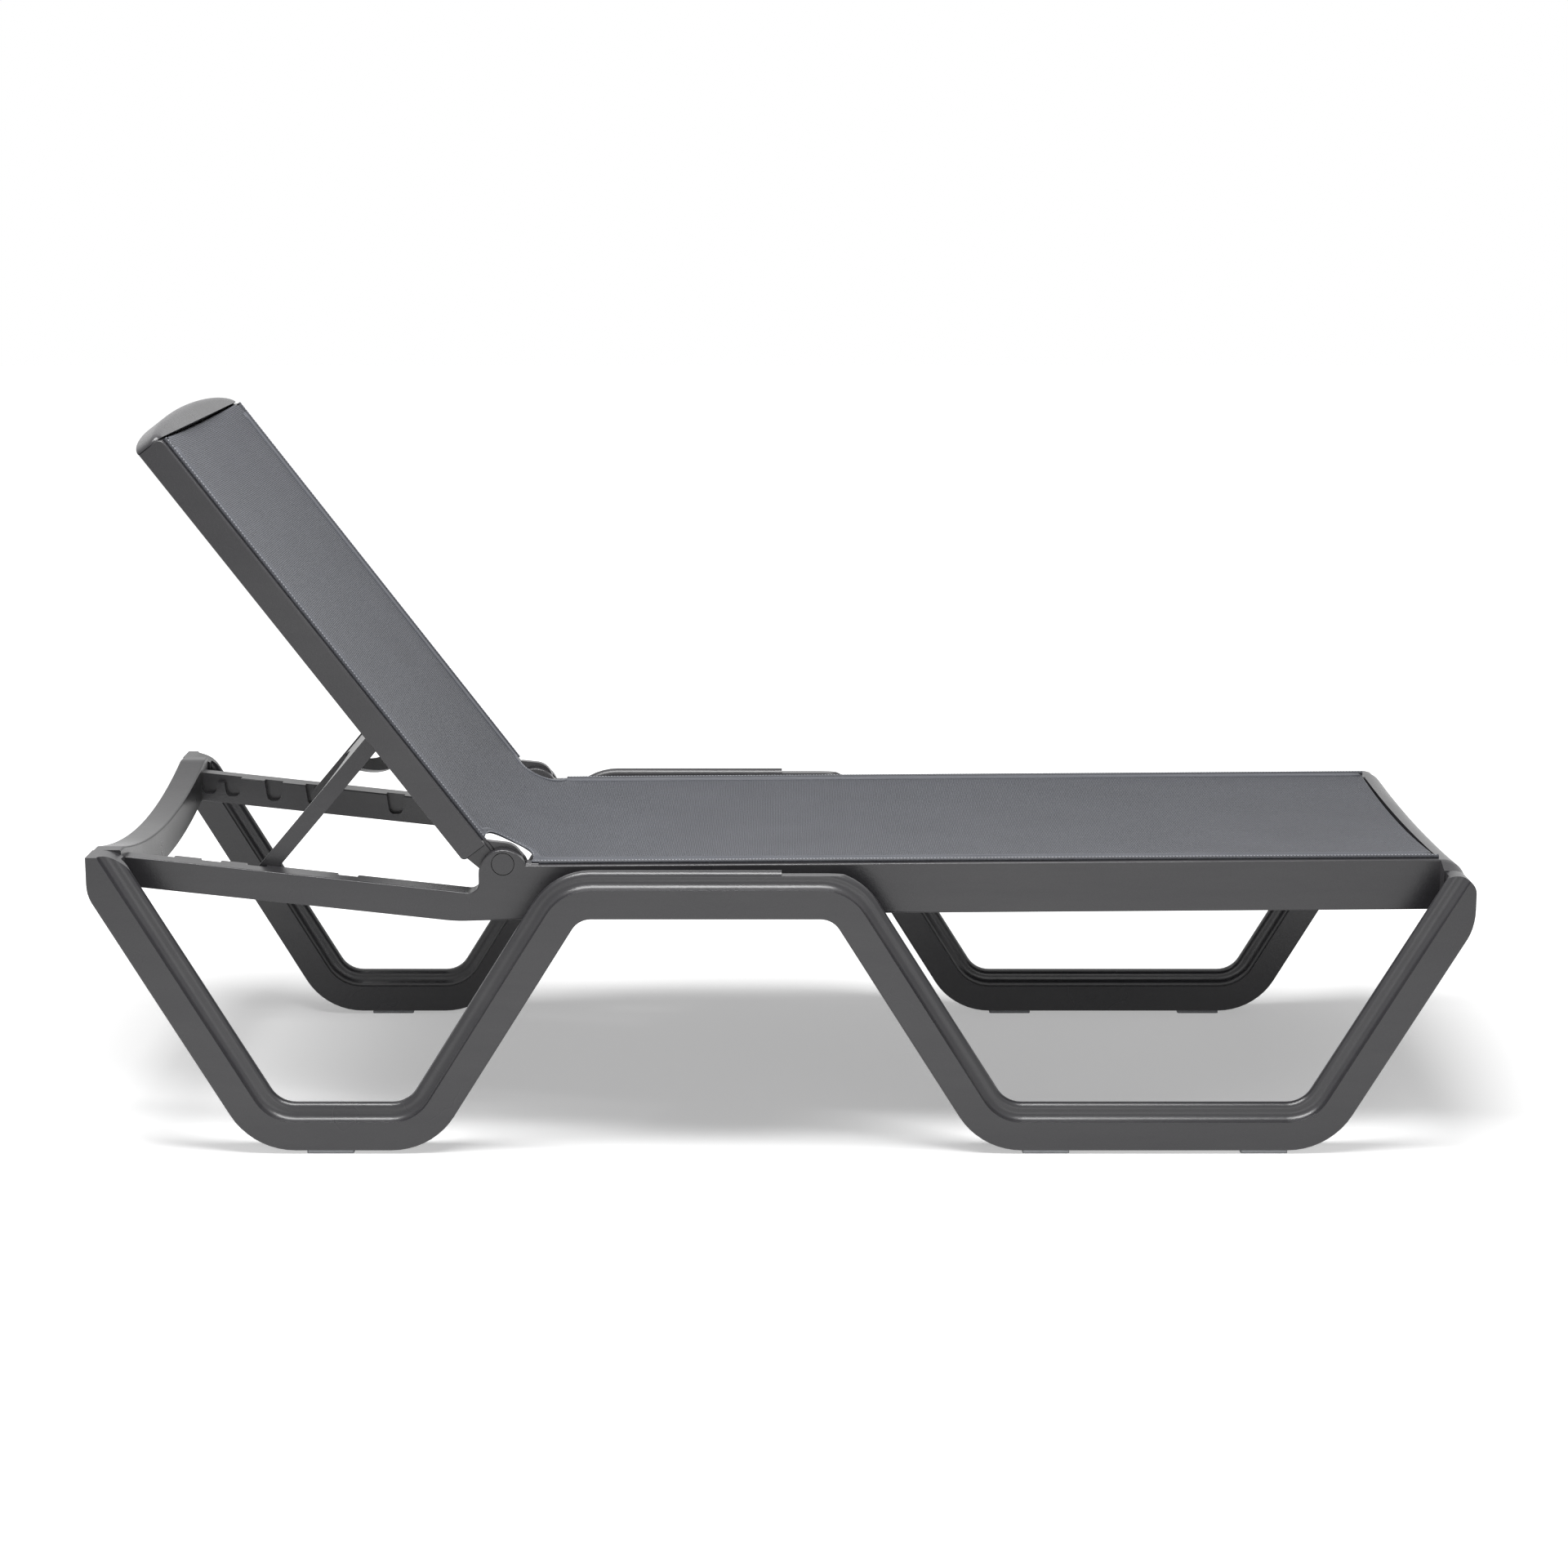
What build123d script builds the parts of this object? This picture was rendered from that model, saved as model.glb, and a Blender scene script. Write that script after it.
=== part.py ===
from build123d import *
import math
import os

# Sun lounger with a raised, adjustable backrest and a woven sling.
# Millimetres. +X runs to the foot end, +Y to the left of a person lying on it, +Z up.
# The origin is on the floor, under the middle of the base.

# Overall
base_length = 1747.0
base_width = 705.0
pad_height = 4.0
fit_gap = 0.05
face_gap = 0.5
overrun = 20.0

# Leg frames: a bar with flat sides, hollowed along its upper edge up to a round ridge
leg_bar = 45.0
leg_flat = 37.5
leg_edge_round = 3.0
bead_step = 1.2
cove_radius = 12.5
arch_leg_angle = 58.0
head_loop_set = 197.5
head_loop_length = 230.0
head_bend = 338.0
foot_loop_set = 173.0
foot_loop_length = 446.0
foot_bend = 296.5
arch_under = 308.0
loop_radius = 95.0
arch_radius = 28.0
head_corner_radius = 60.0
foot_corner_radius = 88.0
head_ridge_round = 45.0
foot_ridge_round = 15.0
foot_nose_round = 20.0
foot_corner_drop = 9.0
head_top = 388.0
run_out_share = 2.0
lug_in = 6.0

# Side rails
rail_thick = 35.0
rail_set = 23.5
rail_top_hinge = 361.9
rail_top_foot = 370.1
rail_low_hinge = 298.2
rail_low_foot = 304.9
rail_edge_round = 2.0
rail_keel_set = 61.0
rail_waist_set = 254.0
rail_low_round = 180.0
tail_slope = 6.3
tail_height = 39.0
tail_drop = 42.8
tail_fillet = 13.0

# Hinge of the backrest
hinge_set = 517.4
hinge_z = 364.2
ear_radius = 31.3
ear_centre_drop = 13.0
ear_outer = 12.5
tongue_thick = 10.4
ear_side_gap = 0.6
tongue_radius = 25.0
slot_room = 2.5
slot_depth = 38.0
hinge_pin_radius = 7.0
hinge_cap_radius = 14.0
hinge_cap_depth = 7.5
hinge_cap_gap = 0.9

# Notches for the strut, along the inner faces of the side rails, from the head end
notch_sets = [47.5, 81.0, 140.3, 198.9, 315.8]
notch_mouth = 26.0
notch_floor = 18.0
notch_depth = 28.0
notch_inset = 11.0
notch_ridge_drop = 8.0
notch_round_share = 0.42

# Crossbars of the base
head_bar_width = 36.0
head_bar_height = 47.0
head_bar_dip = 30.0
head_bar_round = 2.5
foot_bar_width = 32.5
foot_bar_dip = 7.0
foot_bar_nose_share = 0.93
seat_bar_shares = [0.108, 0.656]
seat_bar_width = 42.0
seat_bar_height = 26.0
seat_bar_lift = 10.0
seat_bar_round = 4.0
tenon_radius = 9.0
tenon_depth = 16.0
corner_tenon_radius = 8.0
head_tenon_in = 11.5
head_tenon_drop = 21.0
foot_tenon_in = 15.5
foot_tenon_lift = 13.5
peg_radius = 6.0
peg_depth = 14.0
head_peg_drop = 27.0
peg_in = 13.0
foot_peg_lift = 30.0

# Foot pads
pad_length = 60.0
pad_margin = 3.0
head_pad_set = 99.0
foot_pad_set = 83.5
pad_peg_radius = 4.0
pad_peg_height = 10.0

# Screws that hold the leg frames to the side rails
leg_screw_shares = [0.2, 0.5, 0.8]
leg_screw_drop = 34.0
screw_radius = 3.0
screw_head_radius = 6.0
screw_head_height = 4.0
screw_bite = 28.0

# Backrest
back_angle = 52.8
back_length = 684.0
back_end_round = 8.0
back_rail_height = 35.0
back_rail_drop = 3.0
back_rail_start = 33.0
back_heel_round = 6.0
neck_in = 12.0
neck_drop = 30.0
neck_shoulder = 2.0
neck_round_share = 0.7071
back_top_bar_width = 36.0
back_top_bulge = 27.0
back_top_bar_round = 9.0
back_top_flange = 6.5
back_peg_drop = 28.5
back_bar_place = 90.0
back_bar_width = 20.0
back_bar_height = 20.0
back_bar_drop = 26.0
back_tenon_radius = 7.0

# Strut that holds the backrest up
strut_pivot_along = 226.0
strut_pivot_drop = 20.0
strut_length = 245.0
strut_angle = 49.7
strut_arm_width = 21.0
strut_arm_thick = 16.0
strut_side_gap = 1.0
strut_pin_radius = 6.0
strut_pin_bed = 14.0
strut_web_thick = 5.0
strut_web_low = 72.0
strut_web_high = 205.0
strut_web_rise = 48.0
strut_web_set = 6.0
strut_grip_along = 182.0
strut_grip_reach = 40.0
strut_grip_lean = 13.0
strut_grip_width = 20.0
strut_grip_thick = 5.0

# Sling
sling_thick = 2.4
sling_dip = 9.0
keder_radius = 3.0
keder_in = 12.5
keder_bed = 1.6
seat_sling_set = 14.0
seat_corner_length = 31.0
back_corner_length = 24.0
sling_corner_in = 52.0
sling_end_gap = 4.5
sling_end_drop = 20.0
back_sling_start = 15.0
back_sling_gap = 3.5
end_rod_radius = 3.0
end_rod_drop = 6.0
end_rod_bed = 10.0

# Places worked out from the sizes above
half_length = base_length / 2
half_width = base_width / 2
leg_in = half_width - leg_bar
leg_height = leg_flat + leg_bar / 2 - bead_step
rail_out = leg_in - rail_set
rail_in = rail_out - rail_thick
hinge_x = -half_length + hinge_set
tail_tan = math.tan(math.radians(tail_slope))
head_bar_in = -half_length + head_bar_width
foot_bar_in = half_length - foot_bar_width
mid_ear = ear_outer + ear_side_gap
leg_floor = pad_height
head_loop_out = -half_length + head_loop_set
head_loop_in = head_loop_out + head_loop_length
foot_loop_out = half_length - foot_loop_set
foot_loop_in = foot_loop_out - foot_loop_length
arch_run = (arch_under - leg_floor) / math.tan(math.radians(arch_leg_angle))
arch_start = head_loop_in + arch_run
arch_stop = foot_loop_in - arch_run
seat_length = foot_bar_in - hinge_x
seat_tilt = math.degrees(math.atan2(rail_top_foot - rail_top_hinge, seat_length))
back_sling_stop = back_length - back_sling_gap
sling_reach = rail_out - keder_in - keder_radius - fit_gap
pad_places = [head_loop_out + head_pad_set, foot_loop_in + foot_pad_set, foot_loop_out - foot_pad_set]
notch_places = [-half_length + set_in for set_in in notch_sets]
seat_bar_places = [hinge_x + share * seat_length for share in seat_bar_shares]
leg_screw_places = [arch_start + share * (arch_stop - arch_start) for share in leg_screw_shares]


def slab(shape, y_low, y_high):
    """Extrude a side-view outline, drawn in X and Z, between two places across the width."""
    return extrude(Plane.XZ.offset(-y_high) * shape, amount=y_high - y_low)


def soft_slab(side, rounding):
    """A rail from its side-view outline, with the long edges of both its faces rounded."""
    rail = slab(side, -rail_out, -rail_in)
    box = side.bounding_box()
    edges = []
    for edge in rail.faces().sort_by(Axis.Y)[0].edges() + rail.faces().sort_by(Axis.Y)[-1].edges():
        at_end = min(edge.center().X - box.min.X, box.max.X - edge.center().X) < rounding
        if not at_end:
            edges.append(edge)
    return fillet(edges, rounding)


def cross_rod(x, z, radius, y_low, y_high):
    """A round bar across the width."""
    return slab(Pos(x, z) * Circle(radius), y_low, y_high)


def brick(x_low, x_high, y_low, y_high, z_low, z_high):
    size = (x_high - x_low, y_high - y_low, z_high - z_low)
    middle = ((x_low + x_high) / 2, (y_low + y_high) / 2, (z_low + z_high) / 2)
    return Pos(*middle) * Box(*size)


def outline(points):
    return make_face(Polyline(*points, close=True))


def tail_top_at(x):
    """Height of the top of the rail's rear part."""
    return hinge_z - tail_drop + (hinge_x - x) * tail_tan


def mirrored(solid):
    return mirror(solid, about=Plane.XZ)


def back_place(solid):
    """Move what is drawn with the backrest lying along -X from the hinge to its raised place."""
    return Pos(hinge_x, 0, hinge_z) * Rot(0, back_angle, 0) * solid


def seat_place(solid):
    """Move what is drawn along +X from the hinge, over the rails' tops, to its place on them."""
    return Pos(hinge_x, 0, rail_top_hinge) * Rot(0, -seat_tilt, 0) * solid


def write(solid, name):
    export_step(solid, os.path.join("parts", name + ".step"))


def round_waste(corner, before, after, radius):
    """What a round of this radius takes off the corner of an outline, between two of its sides."""
    corner = Vector(*corner)
    first = (Vector(*before) - corner).normalized()
    second = (Vector(*after) - corner).normalized()
    half = math.radians(first.get_angle(second)) / 2
    run = radius / math.tan(half)
    middle = corner + (first + second).normalized() * (radius / math.sin(half))
    wedge = outline([corner, corner + first * run, corner + second * run])
    return wedge - Pos(*middle) * Circle(radius)


def leg_section():
    """The bar's section: x inboard from the outer face, y up from the lower edge."""
    middle = leg_bar / 2
    ridge = middle - bead_step - cove_radius
    ridge_up = leg_height - ridge
    slant = math.sqrt(2) / 2

    def sides(inboard, up):
        return (inboard, up), (leg_bar - inboard, up)

    step, step_far = sides(bead_step, leg_flat)
    cove, cove_far = sides(bead_step + cove_radius * slant, ridge_up - cove_radius * slant)
    foot, foot_far = sides(middle - ridge, ridge_up)
    crown, crown_far = sides(middle - ridge * slant, ridge_up + ridge * slant)
    top = (middle, leg_height)
    edges = [
        Line((0, 0), (0, leg_flat)),
        Line((0, leg_flat), step),
        ThreePointArc(step, cove, foot),
        ThreePointArc(foot, crown, top),
        ThreePointArc(top, crown_far, foot_far),
        ThreePointArc(foot_far, cove_far, step_far),
        Line(step_far, (leg_bar, leg_flat)),
        Line((leg_bar, leg_flat), (leg_bar, 0)),
        Line((leg_bar, 0), (0, 0)),
    ]
    section = make_face(edges)
    return fillet(section.vertices().sort_by(Axis.Y)[:2], leg_edge_round)


def leg_bar_solid():
    """The bent bar of the right leg frame: two loops joined by an arch."""
    side = -half_width
    rise = run_out_share * (head_top - leg_floor)
    head_run = head_loop_set * rise / (head_bend - leg_floor)
    foot_run = foot_loop_set * rise / (foot_bend - leg_floor)
    route = [
        (head_loop_out - head_run, side, leg_floor + rise),
        (head_loop_out, side, leg_floor),
        (head_loop_in, side, leg_floor),
        (arch_start, side, arch_under),
        (arch_stop, side, arch_under),
        (foot_loop_in, side, leg_floor),
        (foot_loop_out, side, leg_floor),
        (foot_loop_out + foot_run, side, leg_floor + rise),
    ]
    radii = [loop_radius, loop_radius, arch_radius, arch_radius, loop_radius, loop_radius]
    path = FilletPolyline(*route, radius=radii)
    start = Plane(origin=path @ 0, x_dir=(0, 1, 0), z_dir=path % 0)
    return sweep(start * leg_section(), path=path)


def ridge_end(loop_out, bend_x, bend_z, top):
    """Where the ridge of an outer leg meets the height of the corner; also its foot."""
    slope = math.atan2(bend_z - leg_floor, abs(bend_x - loop_out))
    inward = math.copysign(1, loop_out - bend_x)
    foot_x = loop_out + inward * leg_height / math.sin(slope)
    return (foot_x - inward * (top - leg_floor) / math.tan(slope), top), (foot_x, leg_floor)


def leg_frame():
    """The right leg frame, trimmed to the corners of the base, with the holes in it."""
    bar = leg_bar_solid()
    low_side = -half_width - overrun
    high_side = -leg_in + overrun
    high = head_top + base_length
    foot_top = rail_top_foot - foot_corner_drop
    ridge = -half_width + leg_bar / 2
    head_low = head_top - head_bar_height
    bar -= brick(-base_length, -half_length, low_side, high_side, 0, high)
    bar -= brick(half_length, base_length, low_side, high_side, 0, high)
    bar -= brick(-base_length, 0, low_side, high_side, head_top, high)
    bar -= brick(0, base_length, low_side, high_side, foot_top, high)

    head_ridge, head_ridge_foot = ridge_end(head_loop_out, -half_length, head_bend, head_top)
    foot_ridge, foot_ridge_foot = ridge_end(foot_loop_out, half_length, foot_bend, foot_top)
    bar += brick(-half_length, head_ridge[0], ridge, -leg_in, head_low, head_top)
    bar += brick(foot_ridge[0], half_length, ridge, -leg_in, rail_low_foot, foot_top)
    head_turn = (-half_length, head_bend)
    head_corner = (-half_length, head_top)
    foot_turn = (half_length, foot_bend)
    foot_corner = (half_length, foot_top)
    rounds = [
        (head_turn, (head_loop_out, leg_floor), head_corner, head_corner_radius),
        (head_ridge, head_corner, head_ridge_foot, head_ridge_round),
        (foot_turn, (foot_loop_out, leg_floor), foot_corner, foot_corner_radius),
        (foot_ridge, foot_corner, foot_ridge_foot, foot_ridge_round),
        (foot_corner, foot_turn, foot_ridge, foot_nose_round),
    ]
    for corner, before, after, radius in rounds:
        bar -= slab(round_waste(corner, before, after, radius), low_side, high_side)
    lug_low = arch_under + lug_in
    lug_high = arch_under + leg_flat
    bar += brick(arch_start, arch_stop, -leg_in - lug_in, -rail_out, lug_low, lug_high)
    for place in pad_places:
        hole = Pos(place, -half_width + leg_bar / 2, leg_floor)
        bar -= hole * Cylinder(pad_peg_radius + fit_gap, 2 * (pad_peg_height + face_gap))
    for place in leg_screw_places:
        z = leg_screw_z()
        bar -= cross_rod(place, z, screw_radius, -rail_out - screw_bite, -rail_out + overrun)
    for x, z in (head_tenon_place(), foot_tenon_place()):
        hole = corner_tenon_radius + fit_gap
        bar -= cross_rod(x, z, hole, -leg_in - tenon_depth - fit_gap, -leg_in + overrun)
    return bar


def leg_screw_z():
    return rail_top_hinge - leg_screw_drop


def head_tenon_place():
    return -half_length + head_tenon_in, head_top - head_tenon_drop


def foot_tenon_place():
    return half_length - foot_tenon_in, rail_low_foot + foot_tenon_lift


def end_peg(face, direction, z, radius, depth):
    """A round peg in the right rail, along the rail, from a face of the bar at its end."""
    y = -rail_out + peg_in
    return Pos(face + direction * depth / 2, y, z) * Rot(0, 90, 0) * Cylinder(radius, depth)


def head_pegs(radius, depth):
    return end_peg(head_bar_in, 1, head_top - head_peg_drop, radius, depth)


def foot_pegs(radius, depth):
    return end_peg(foot_bar_in, -1, rail_low_foot + foot_peg_lift, radius, depth)


def side_rail():
    """The right side rail: seat part, hinge ears and the lower tail with the notches."""
    ear_left = hinge_x - ear_radius
    ear_z = hinge_z - ear_centre_drop
    tail_low = tail_height / math.cos(math.radians(tail_slope))
    keel_x = hinge_x - rail_keel_set
    heel = (ear_left, tail_top_at(ear_left))
    keel = (keel_x, tail_top_at(keel_x) - tail_low)
    waist = (hinge_x + rail_waist_set, rail_low_hinge)
    points = [
        (head_bar_in, tail_top_at(head_bar_in)),
        (head_bar_in, tail_top_at(head_bar_in) - tail_low),
        keel,
        waist,
        (foot_bar_in, rail_low_foot),
        (foot_bar_in, rail_top_foot),
        (hinge_x, rail_top_hinge),
        (hinge_x, ear_z),
        (ear_left, ear_z),
        heel,
    ]
    side = outline(points)

    def corner(at):
        return side.vertices().sort_by_distance((*at, 0))[0]

    side = fillet(corner(heel), tail_fillet)
    side = fillet(corner(keel), rail_low_round)
    side = fillet(corner(waist), rail_low_round)
    side += Pos(hinge_x, ear_z) * Circle(ear_radius)
    rail = soft_slab(side, rail_edge_round)

    slot_low = -rail_out + ear_outer
    slot_high = slot_low + tongue_thick + 2 * ear_side_gap
    slot_left = ear_left - slot_room
    slot_right = hinge_x + tongue_radius + slot_room
    slot_floor = hinge_z - slot_depth
    rail -= brick(slot_left, slot_right, slot_low, slot_high, slot_floor, hinge_z + overrun)

    cap_room = hinge_cap_radius + hinge_cap_gap
    rail -= cross_rod(hinge_x, hinge_z, cap_room, -rail_out - overrun, -rail_out + hinge_cap_depth)
    bore = hinge_pin_radius + fit_gap
    rail -= cross_rod(hinge_x, hinge_z, bore, -rail_out, -rail_in + overrun)

    for place in notch_places:
        rail -= notch(place)
    rail -= notch_saddle(notch_places[0], notch_places[1])
    for place in seat_bar_places:
        hole = tenon_radius + fit_gap
        hole_end = -rail_in - tenon_depth - fit_gap
        rail -= cross_rod(place, seat_bar_z(), hole, hole_end, -rail_in + overrun)
    for place in leg_screw_places:
        z = leg_screw_z()
        rail -= cross_rod(place, z, screw_radius + fit_gap, -rail_out - overrun, -rail_in)
        head = screw_head_radius + fit_gap
        rail -= cross_rod(place, z, head, -rail_in - screw_head_height, -rail_in + overrun)
    rod_x, rod_z = seat_rod_place()
    rod_end = -rail_in - end_rod_bed - fit_gap
    rod_hole = cross_rod(rod_x, rod_z, end_rod_radius + fit_gap, rod_end, -rail_in + overrun)
    rail -= seat_place(rod_hole)
    rail -= seat_place(keder_rod(0, seat_length + overrun, 0, keder_radius + fit_gap))
    rail -= head_pegs(peg_radius + fit_gap, peg_depth + fit_gap)
    rail -= foot_pegs(peg_radius + fit_gap, peg_depth + fit_gap)
    return rail


def notch(place):
    """A pocket in the inner face of the rail, open at the top, that takes the strut's foot."""
    top = tail_top_at(place)
    floor = top - notch_depth
    half_mouth = notch_mouth / 2
    half_floor = notch_floor / 2
    flare = (half_mouth - half_floor) * (notch_depth + overrun) / notch_depth
    pocket = outline([
        (place - half_floor, floor),
        (place + half_floor, floor),
        (place + half_floor + flare, top + overrun),
        (place - half_floor - flare, top + overrun),
    ])
    low_corners = pocket.vertices().sort_by(Axis.Y)[:2]
    pocket = fillet(low_corners, notch_floor * notch_round_share)
    return slab(pocket, -rail_in - notch_inset, -rail_in + overrun)


def notch_saddle(first, second):
    """The low place between two notches, which makes one wide pocket of them."""
    floor = tail_top_at(second) - notch_ridge_drop
    top = tail_top_at(first) + overrun
    return brick(first, second, -rail_in - notch_inset, -rail_in + overrun, floor, top)


def seat_bar_z():
    return rail_low_hinge + seat_bar_lift + seat_bar_height / 2


def seat_rod_place():
    x = seat_length - sling_end_gap - sling_thick - end_rod_radius - fit_gap
    return x, -sling_dip - end_rod_drop


def keder_rod(x_low, x_high, top, radius):
    """A bead along the right rail's top, near its outer edge."""
    y = -rail_out + keder_in
    z = top + keder_radius - keder_bed
    rod = Pos((x_low + x_high) / 2, y, z) * Rot(0, 90, 0) * Cylinder(radius, x_high - x_low)
    return rod


def dished_bar(width, height, dip, shoulder=0):
    """A bar across the base whose middle hangs lower than its ends; its top lies at zero.

    The shoulder is how far its top falls from the rails to the leg frames.
    """
    edges = [
        Line((-leg_in, -shoulder), (-rail_out, 0)),
        ThreePointArc((-rail_out, 0), (0, -dip), (rail_out, 0)),
        Line((rail_out, 0), (leg_in, -shoulder)),
        Line((leg_in, -shoulder), (leg_in, -height)),
        Line((leg_in, -height), (rail_out, -height)),
        ThreePointArc((rail_out, -height), (0, -dip - height), (-rail_out, -height)),
        Line((-rail_out, -height), (-leg_in, -height)),
        Line((-leg_in, -height), (-leg_in, -shoulder)),
    ]
    return extrude(Plane.YZ * make_face(edges), amount=width)


def corner_tenons(x, z):
    """The ends of a crossbar that go into both leg frames."""
    tenon = cross_rod(x, z, corner_tenon_radius, -leg_in - tenon_depth, -leg_in)
    return both_sides(tenon)


def both_sides(solid):
    return solid + mirrored(solid)


def head_crossbar():
    bar = dished_bar(head_bar_width, head_bar_height, head_bar_dip)
    long_edges = bar.edges().filter_by(GeomType.CIRCLE)
    bar = fillet(long_edges, head_bar_round)
    bar = Pos(-half_length, 0, head_top) * bar
    pegs = both_sides(head_pegs(peg_radius, peg_depth))
    return bar + corner_tenons(*head_tenon_place()) + pegs


def foot_crossbar():
    height = rail_top_foot - rail_low_foot
    bar = dished_bar(foot_bar_width, height, foot_bar_dip, foot_corner_drop)
    front = bar.faces().sort_by(Axis.X)[-1]
    nose = [edge for edge in front.edges() if edge.bounding_box().min.Z > -height / 2]
    bar = fillet(nose, foot_bar_width * foot_bar_nose_share)
    bar = Pos(foot_bar_in, 0, rail_top_foot) * bar
    pegs = both_sides(foot_pegs(peg_radius, peg_depth))
    return bar + corner_tenons(*foot_tenon_place()) + pegs


def tenoned_bar(width, height, radius, depth, rounding):
    """A straight bar between the inner faces of two rails, with a round tenon at each end."""
    bar = Box(width, 2 * rail_in, height)
    bar = fillet(bar.edges().filter_by(Axis.Y), rounding)
    return bar + Rot(90, 0, 0) * Cylinder(radius, 2 * (rail_in + depth))


def seat_crossbar(place):
    bar = tenoned_bar(seat_bar_width, seat_bar_height, tenon_radius, tenon_depth, seat_bar_round)
    return Pos(place, 0, seat_bar_z()) * bar


def foot_pad(place):
    """A glide under the right leg frame, with a peg that goes up into it."""
    pad = Box(pad_length, leg_bar - 2 * pad_margin, pad_height)
    pad = fillet(pad.edges().filter_by(Axis.Z), pad_margin)
    peg = Pos(0, 0, (pad_height + pad_peg_height) / 2) * Cylinder(pad_peg_radius, pad_peg_height)
    return Pos(place, -half_width + leg_bar / 2, pad_height / 2) * (pad + peg)


def hinge_pin():
    """A stepped pin: its flat cap lies flush with the rail's outer face."""
    cap_in = -rail_out + hinge_cap_depth
    cap = cross_rod(hinge_x, hinge_z, hinge_cap_radius, -rail_out, cap_in)
    return cap + cross_rod(hinge_x, hinge_z, hinge_pin_radius, cap_in, -rail_in)


def leg_screws():
    screws = []
    z = leg_screw_z()
    for place in leg_screw_places:
        head = cross_rod(place, z, screw_head_radius, -rail_in - screw_head_height, -rail_in)
        under_head = -rail_in - screw_head_height
        shank = cross_rod(place, z, screw_radius, -rail_out - screw_bite, under_head)
        screws.append(head + shank)
    return Compound(children=screws)


def back_rail():
    """The right backrest rail, with the tongue that turns between the ears."""
    top = -back_rail_drop
    low = top - back_rail_height
    side = outline([
        (-back_rail_start, top),
        (-back_rail_start, low),
        (-back_length, low),
        (-back_length, top),
    ])
    heel = side.vertices().sort_by_distance((-back_rail_start, low, 0))[0]
    side = fillet(heel, back_heel_round)
    crown = side.vertices().sort_by_distance((-back_length, top, 0))[0]
    side = fillet(crown, back_end_round)
    rail = soft_slab(side, rail_edge_round)

    root = back_rail_start + back_heel_round
    neck = outline([
        (-root, top - neck_shoulder),
        (-root, low + neck_shoulder),
        (-neck_in, -neck_drop),
        (0, -tongue_radius),
        (0, tongue_radius),
        (-tongue_radius * neck_round_share, tongue_radius * neck_round_share),
    ])
    tongue = neck + Circle(tongue_radius)
    tongue_low = -rail_out + mid_ear
    rail += slab(tongue, tongue_low, tongue_low + tongue_thick)
    rail -= cross_rod(0, 0, hinge_pin_radius + fit_gap, -rail_out, -rail_in)

    pin_hole = strut_pin_radius + fit_gap
    pin_end = -rail_in - strut_pin_bed - fit_gap
    rail -= cross_rod(-strut_pivot_along, -strut_pivot_drop, pin_hole, pin_end, -rail_in + overrun)
    tenon_hole = back_tenon_radius + fit_gap
    tenon_end = -rail_in - tenon_depth - fit_gap
    rail -= cross_rod(-back_bar_place, -back_bar_drop, tenon_hole, tenon_end, -rail_in + overrun)
    rod_x, rod_z = back_rod_place()
    rod_end = -rail_in - end_rod_bed - fit_gap
    rail -= cross_rod(rod_x, rod_z, end_rod_radius + fit_gap, rod_end, -rail_in + overrun)
    rail -= keder_rod(-back_length - overrun, -back_rail_start + overrun, top, keder_radius + fit_gap)
    rail -= back_peg(peg_radius + fit_gap, peg_depth + fit_gap)
    return rail


def back_peg(radius, depth):
    return end_peg(-back_length, 1, -back_peg_drop, radius, depth)


def back_rod_place():
    x = -back_sling_stop + sling_thick + end_rod_radius + fit_gap
    return x, -back_rail_drop - sling_dip - end_rod_drop


def back_top_crossbar():
    """The crossbar at the top of the backrest: straight towards the sling, bowed outwards."""
    top = -back_rail_drop
    low = top - back_rail_height
    bow = make_face([
        EllipticalCenterArc((-back_length, 0), back_top_bulge, rail_out, 90, arc_size=180),
        Line((-back_length, -rail_out), (-back_length, rail_out)),
    ])
    cap = extrude(Plane.XY.offset(low) * bow, amount=back_rail_height)
    crown = cap.edges().filter_by(GeomType.ELLIPSE).sort_by(Axis.Z)[-1]
    cap = fillet(crown, back_top_bar_round)
    under = -back_length + back_top_bar_width
    flange = brick(-back_length, under, -rail_in, rail_in, low, low + back_top_flange)
    return cap + flange + both_sides(back_peg(peg_radius, peg_depth))


def back_crossbar():
    bar = tenoned_bar(back_bar_width, back_bar_height, back_tenon_radius, tenon_depth, seat_bar_round)
    return Pos(-back_bar_place, 0, -back_bar_drop) * bar


def strut_place(solid):
    """Move what is drawn with the strut lying along -X from its pivot to its place at rest."""
    back = math.radians(back_angle)
    along = strut_pivot_along
    drop = strut_pivot_drop
    x = hinge_x - along * math.cos(back) - drop * math.sin(back)
    z = hinge_z + along * math.sin(back) - drop * math.cos(back)
    return Pos(x, 0, z) * Rot(0, -strut_angle, 0) * solid


def strut_pin():
    pin_in = -rail_in + strut_side_gap + strut_arm_thick
    pin_out = -rail_in - strut_pin_bed
    return cross_rod(-strut_pivot_along, -strut_pivot_drop, strut_pin_radius, pin_out, pin_in)


def strut_arm():
    """The right arm of the strut, round at both ends, with the bore for its pivot pin."""
    arm = Pos(-strut_length / 2, 0) * SlotCenterToCenter(strut_length, strut_arm_width)
    outer = -rail_in + strut_side_gap
    inner = outer + strut_arm_thick
    arm = slab(arm, outer, inner)
    return arm - cross_rod(0, 0, strut_pin_radius + fit_gap, outer - overrun, inner + overrun)


def strut_inner():
    """Half the width between the inner faces of the strut's arms."""
    return rail_in - strut_side_gap - strut_arm_thick


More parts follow.
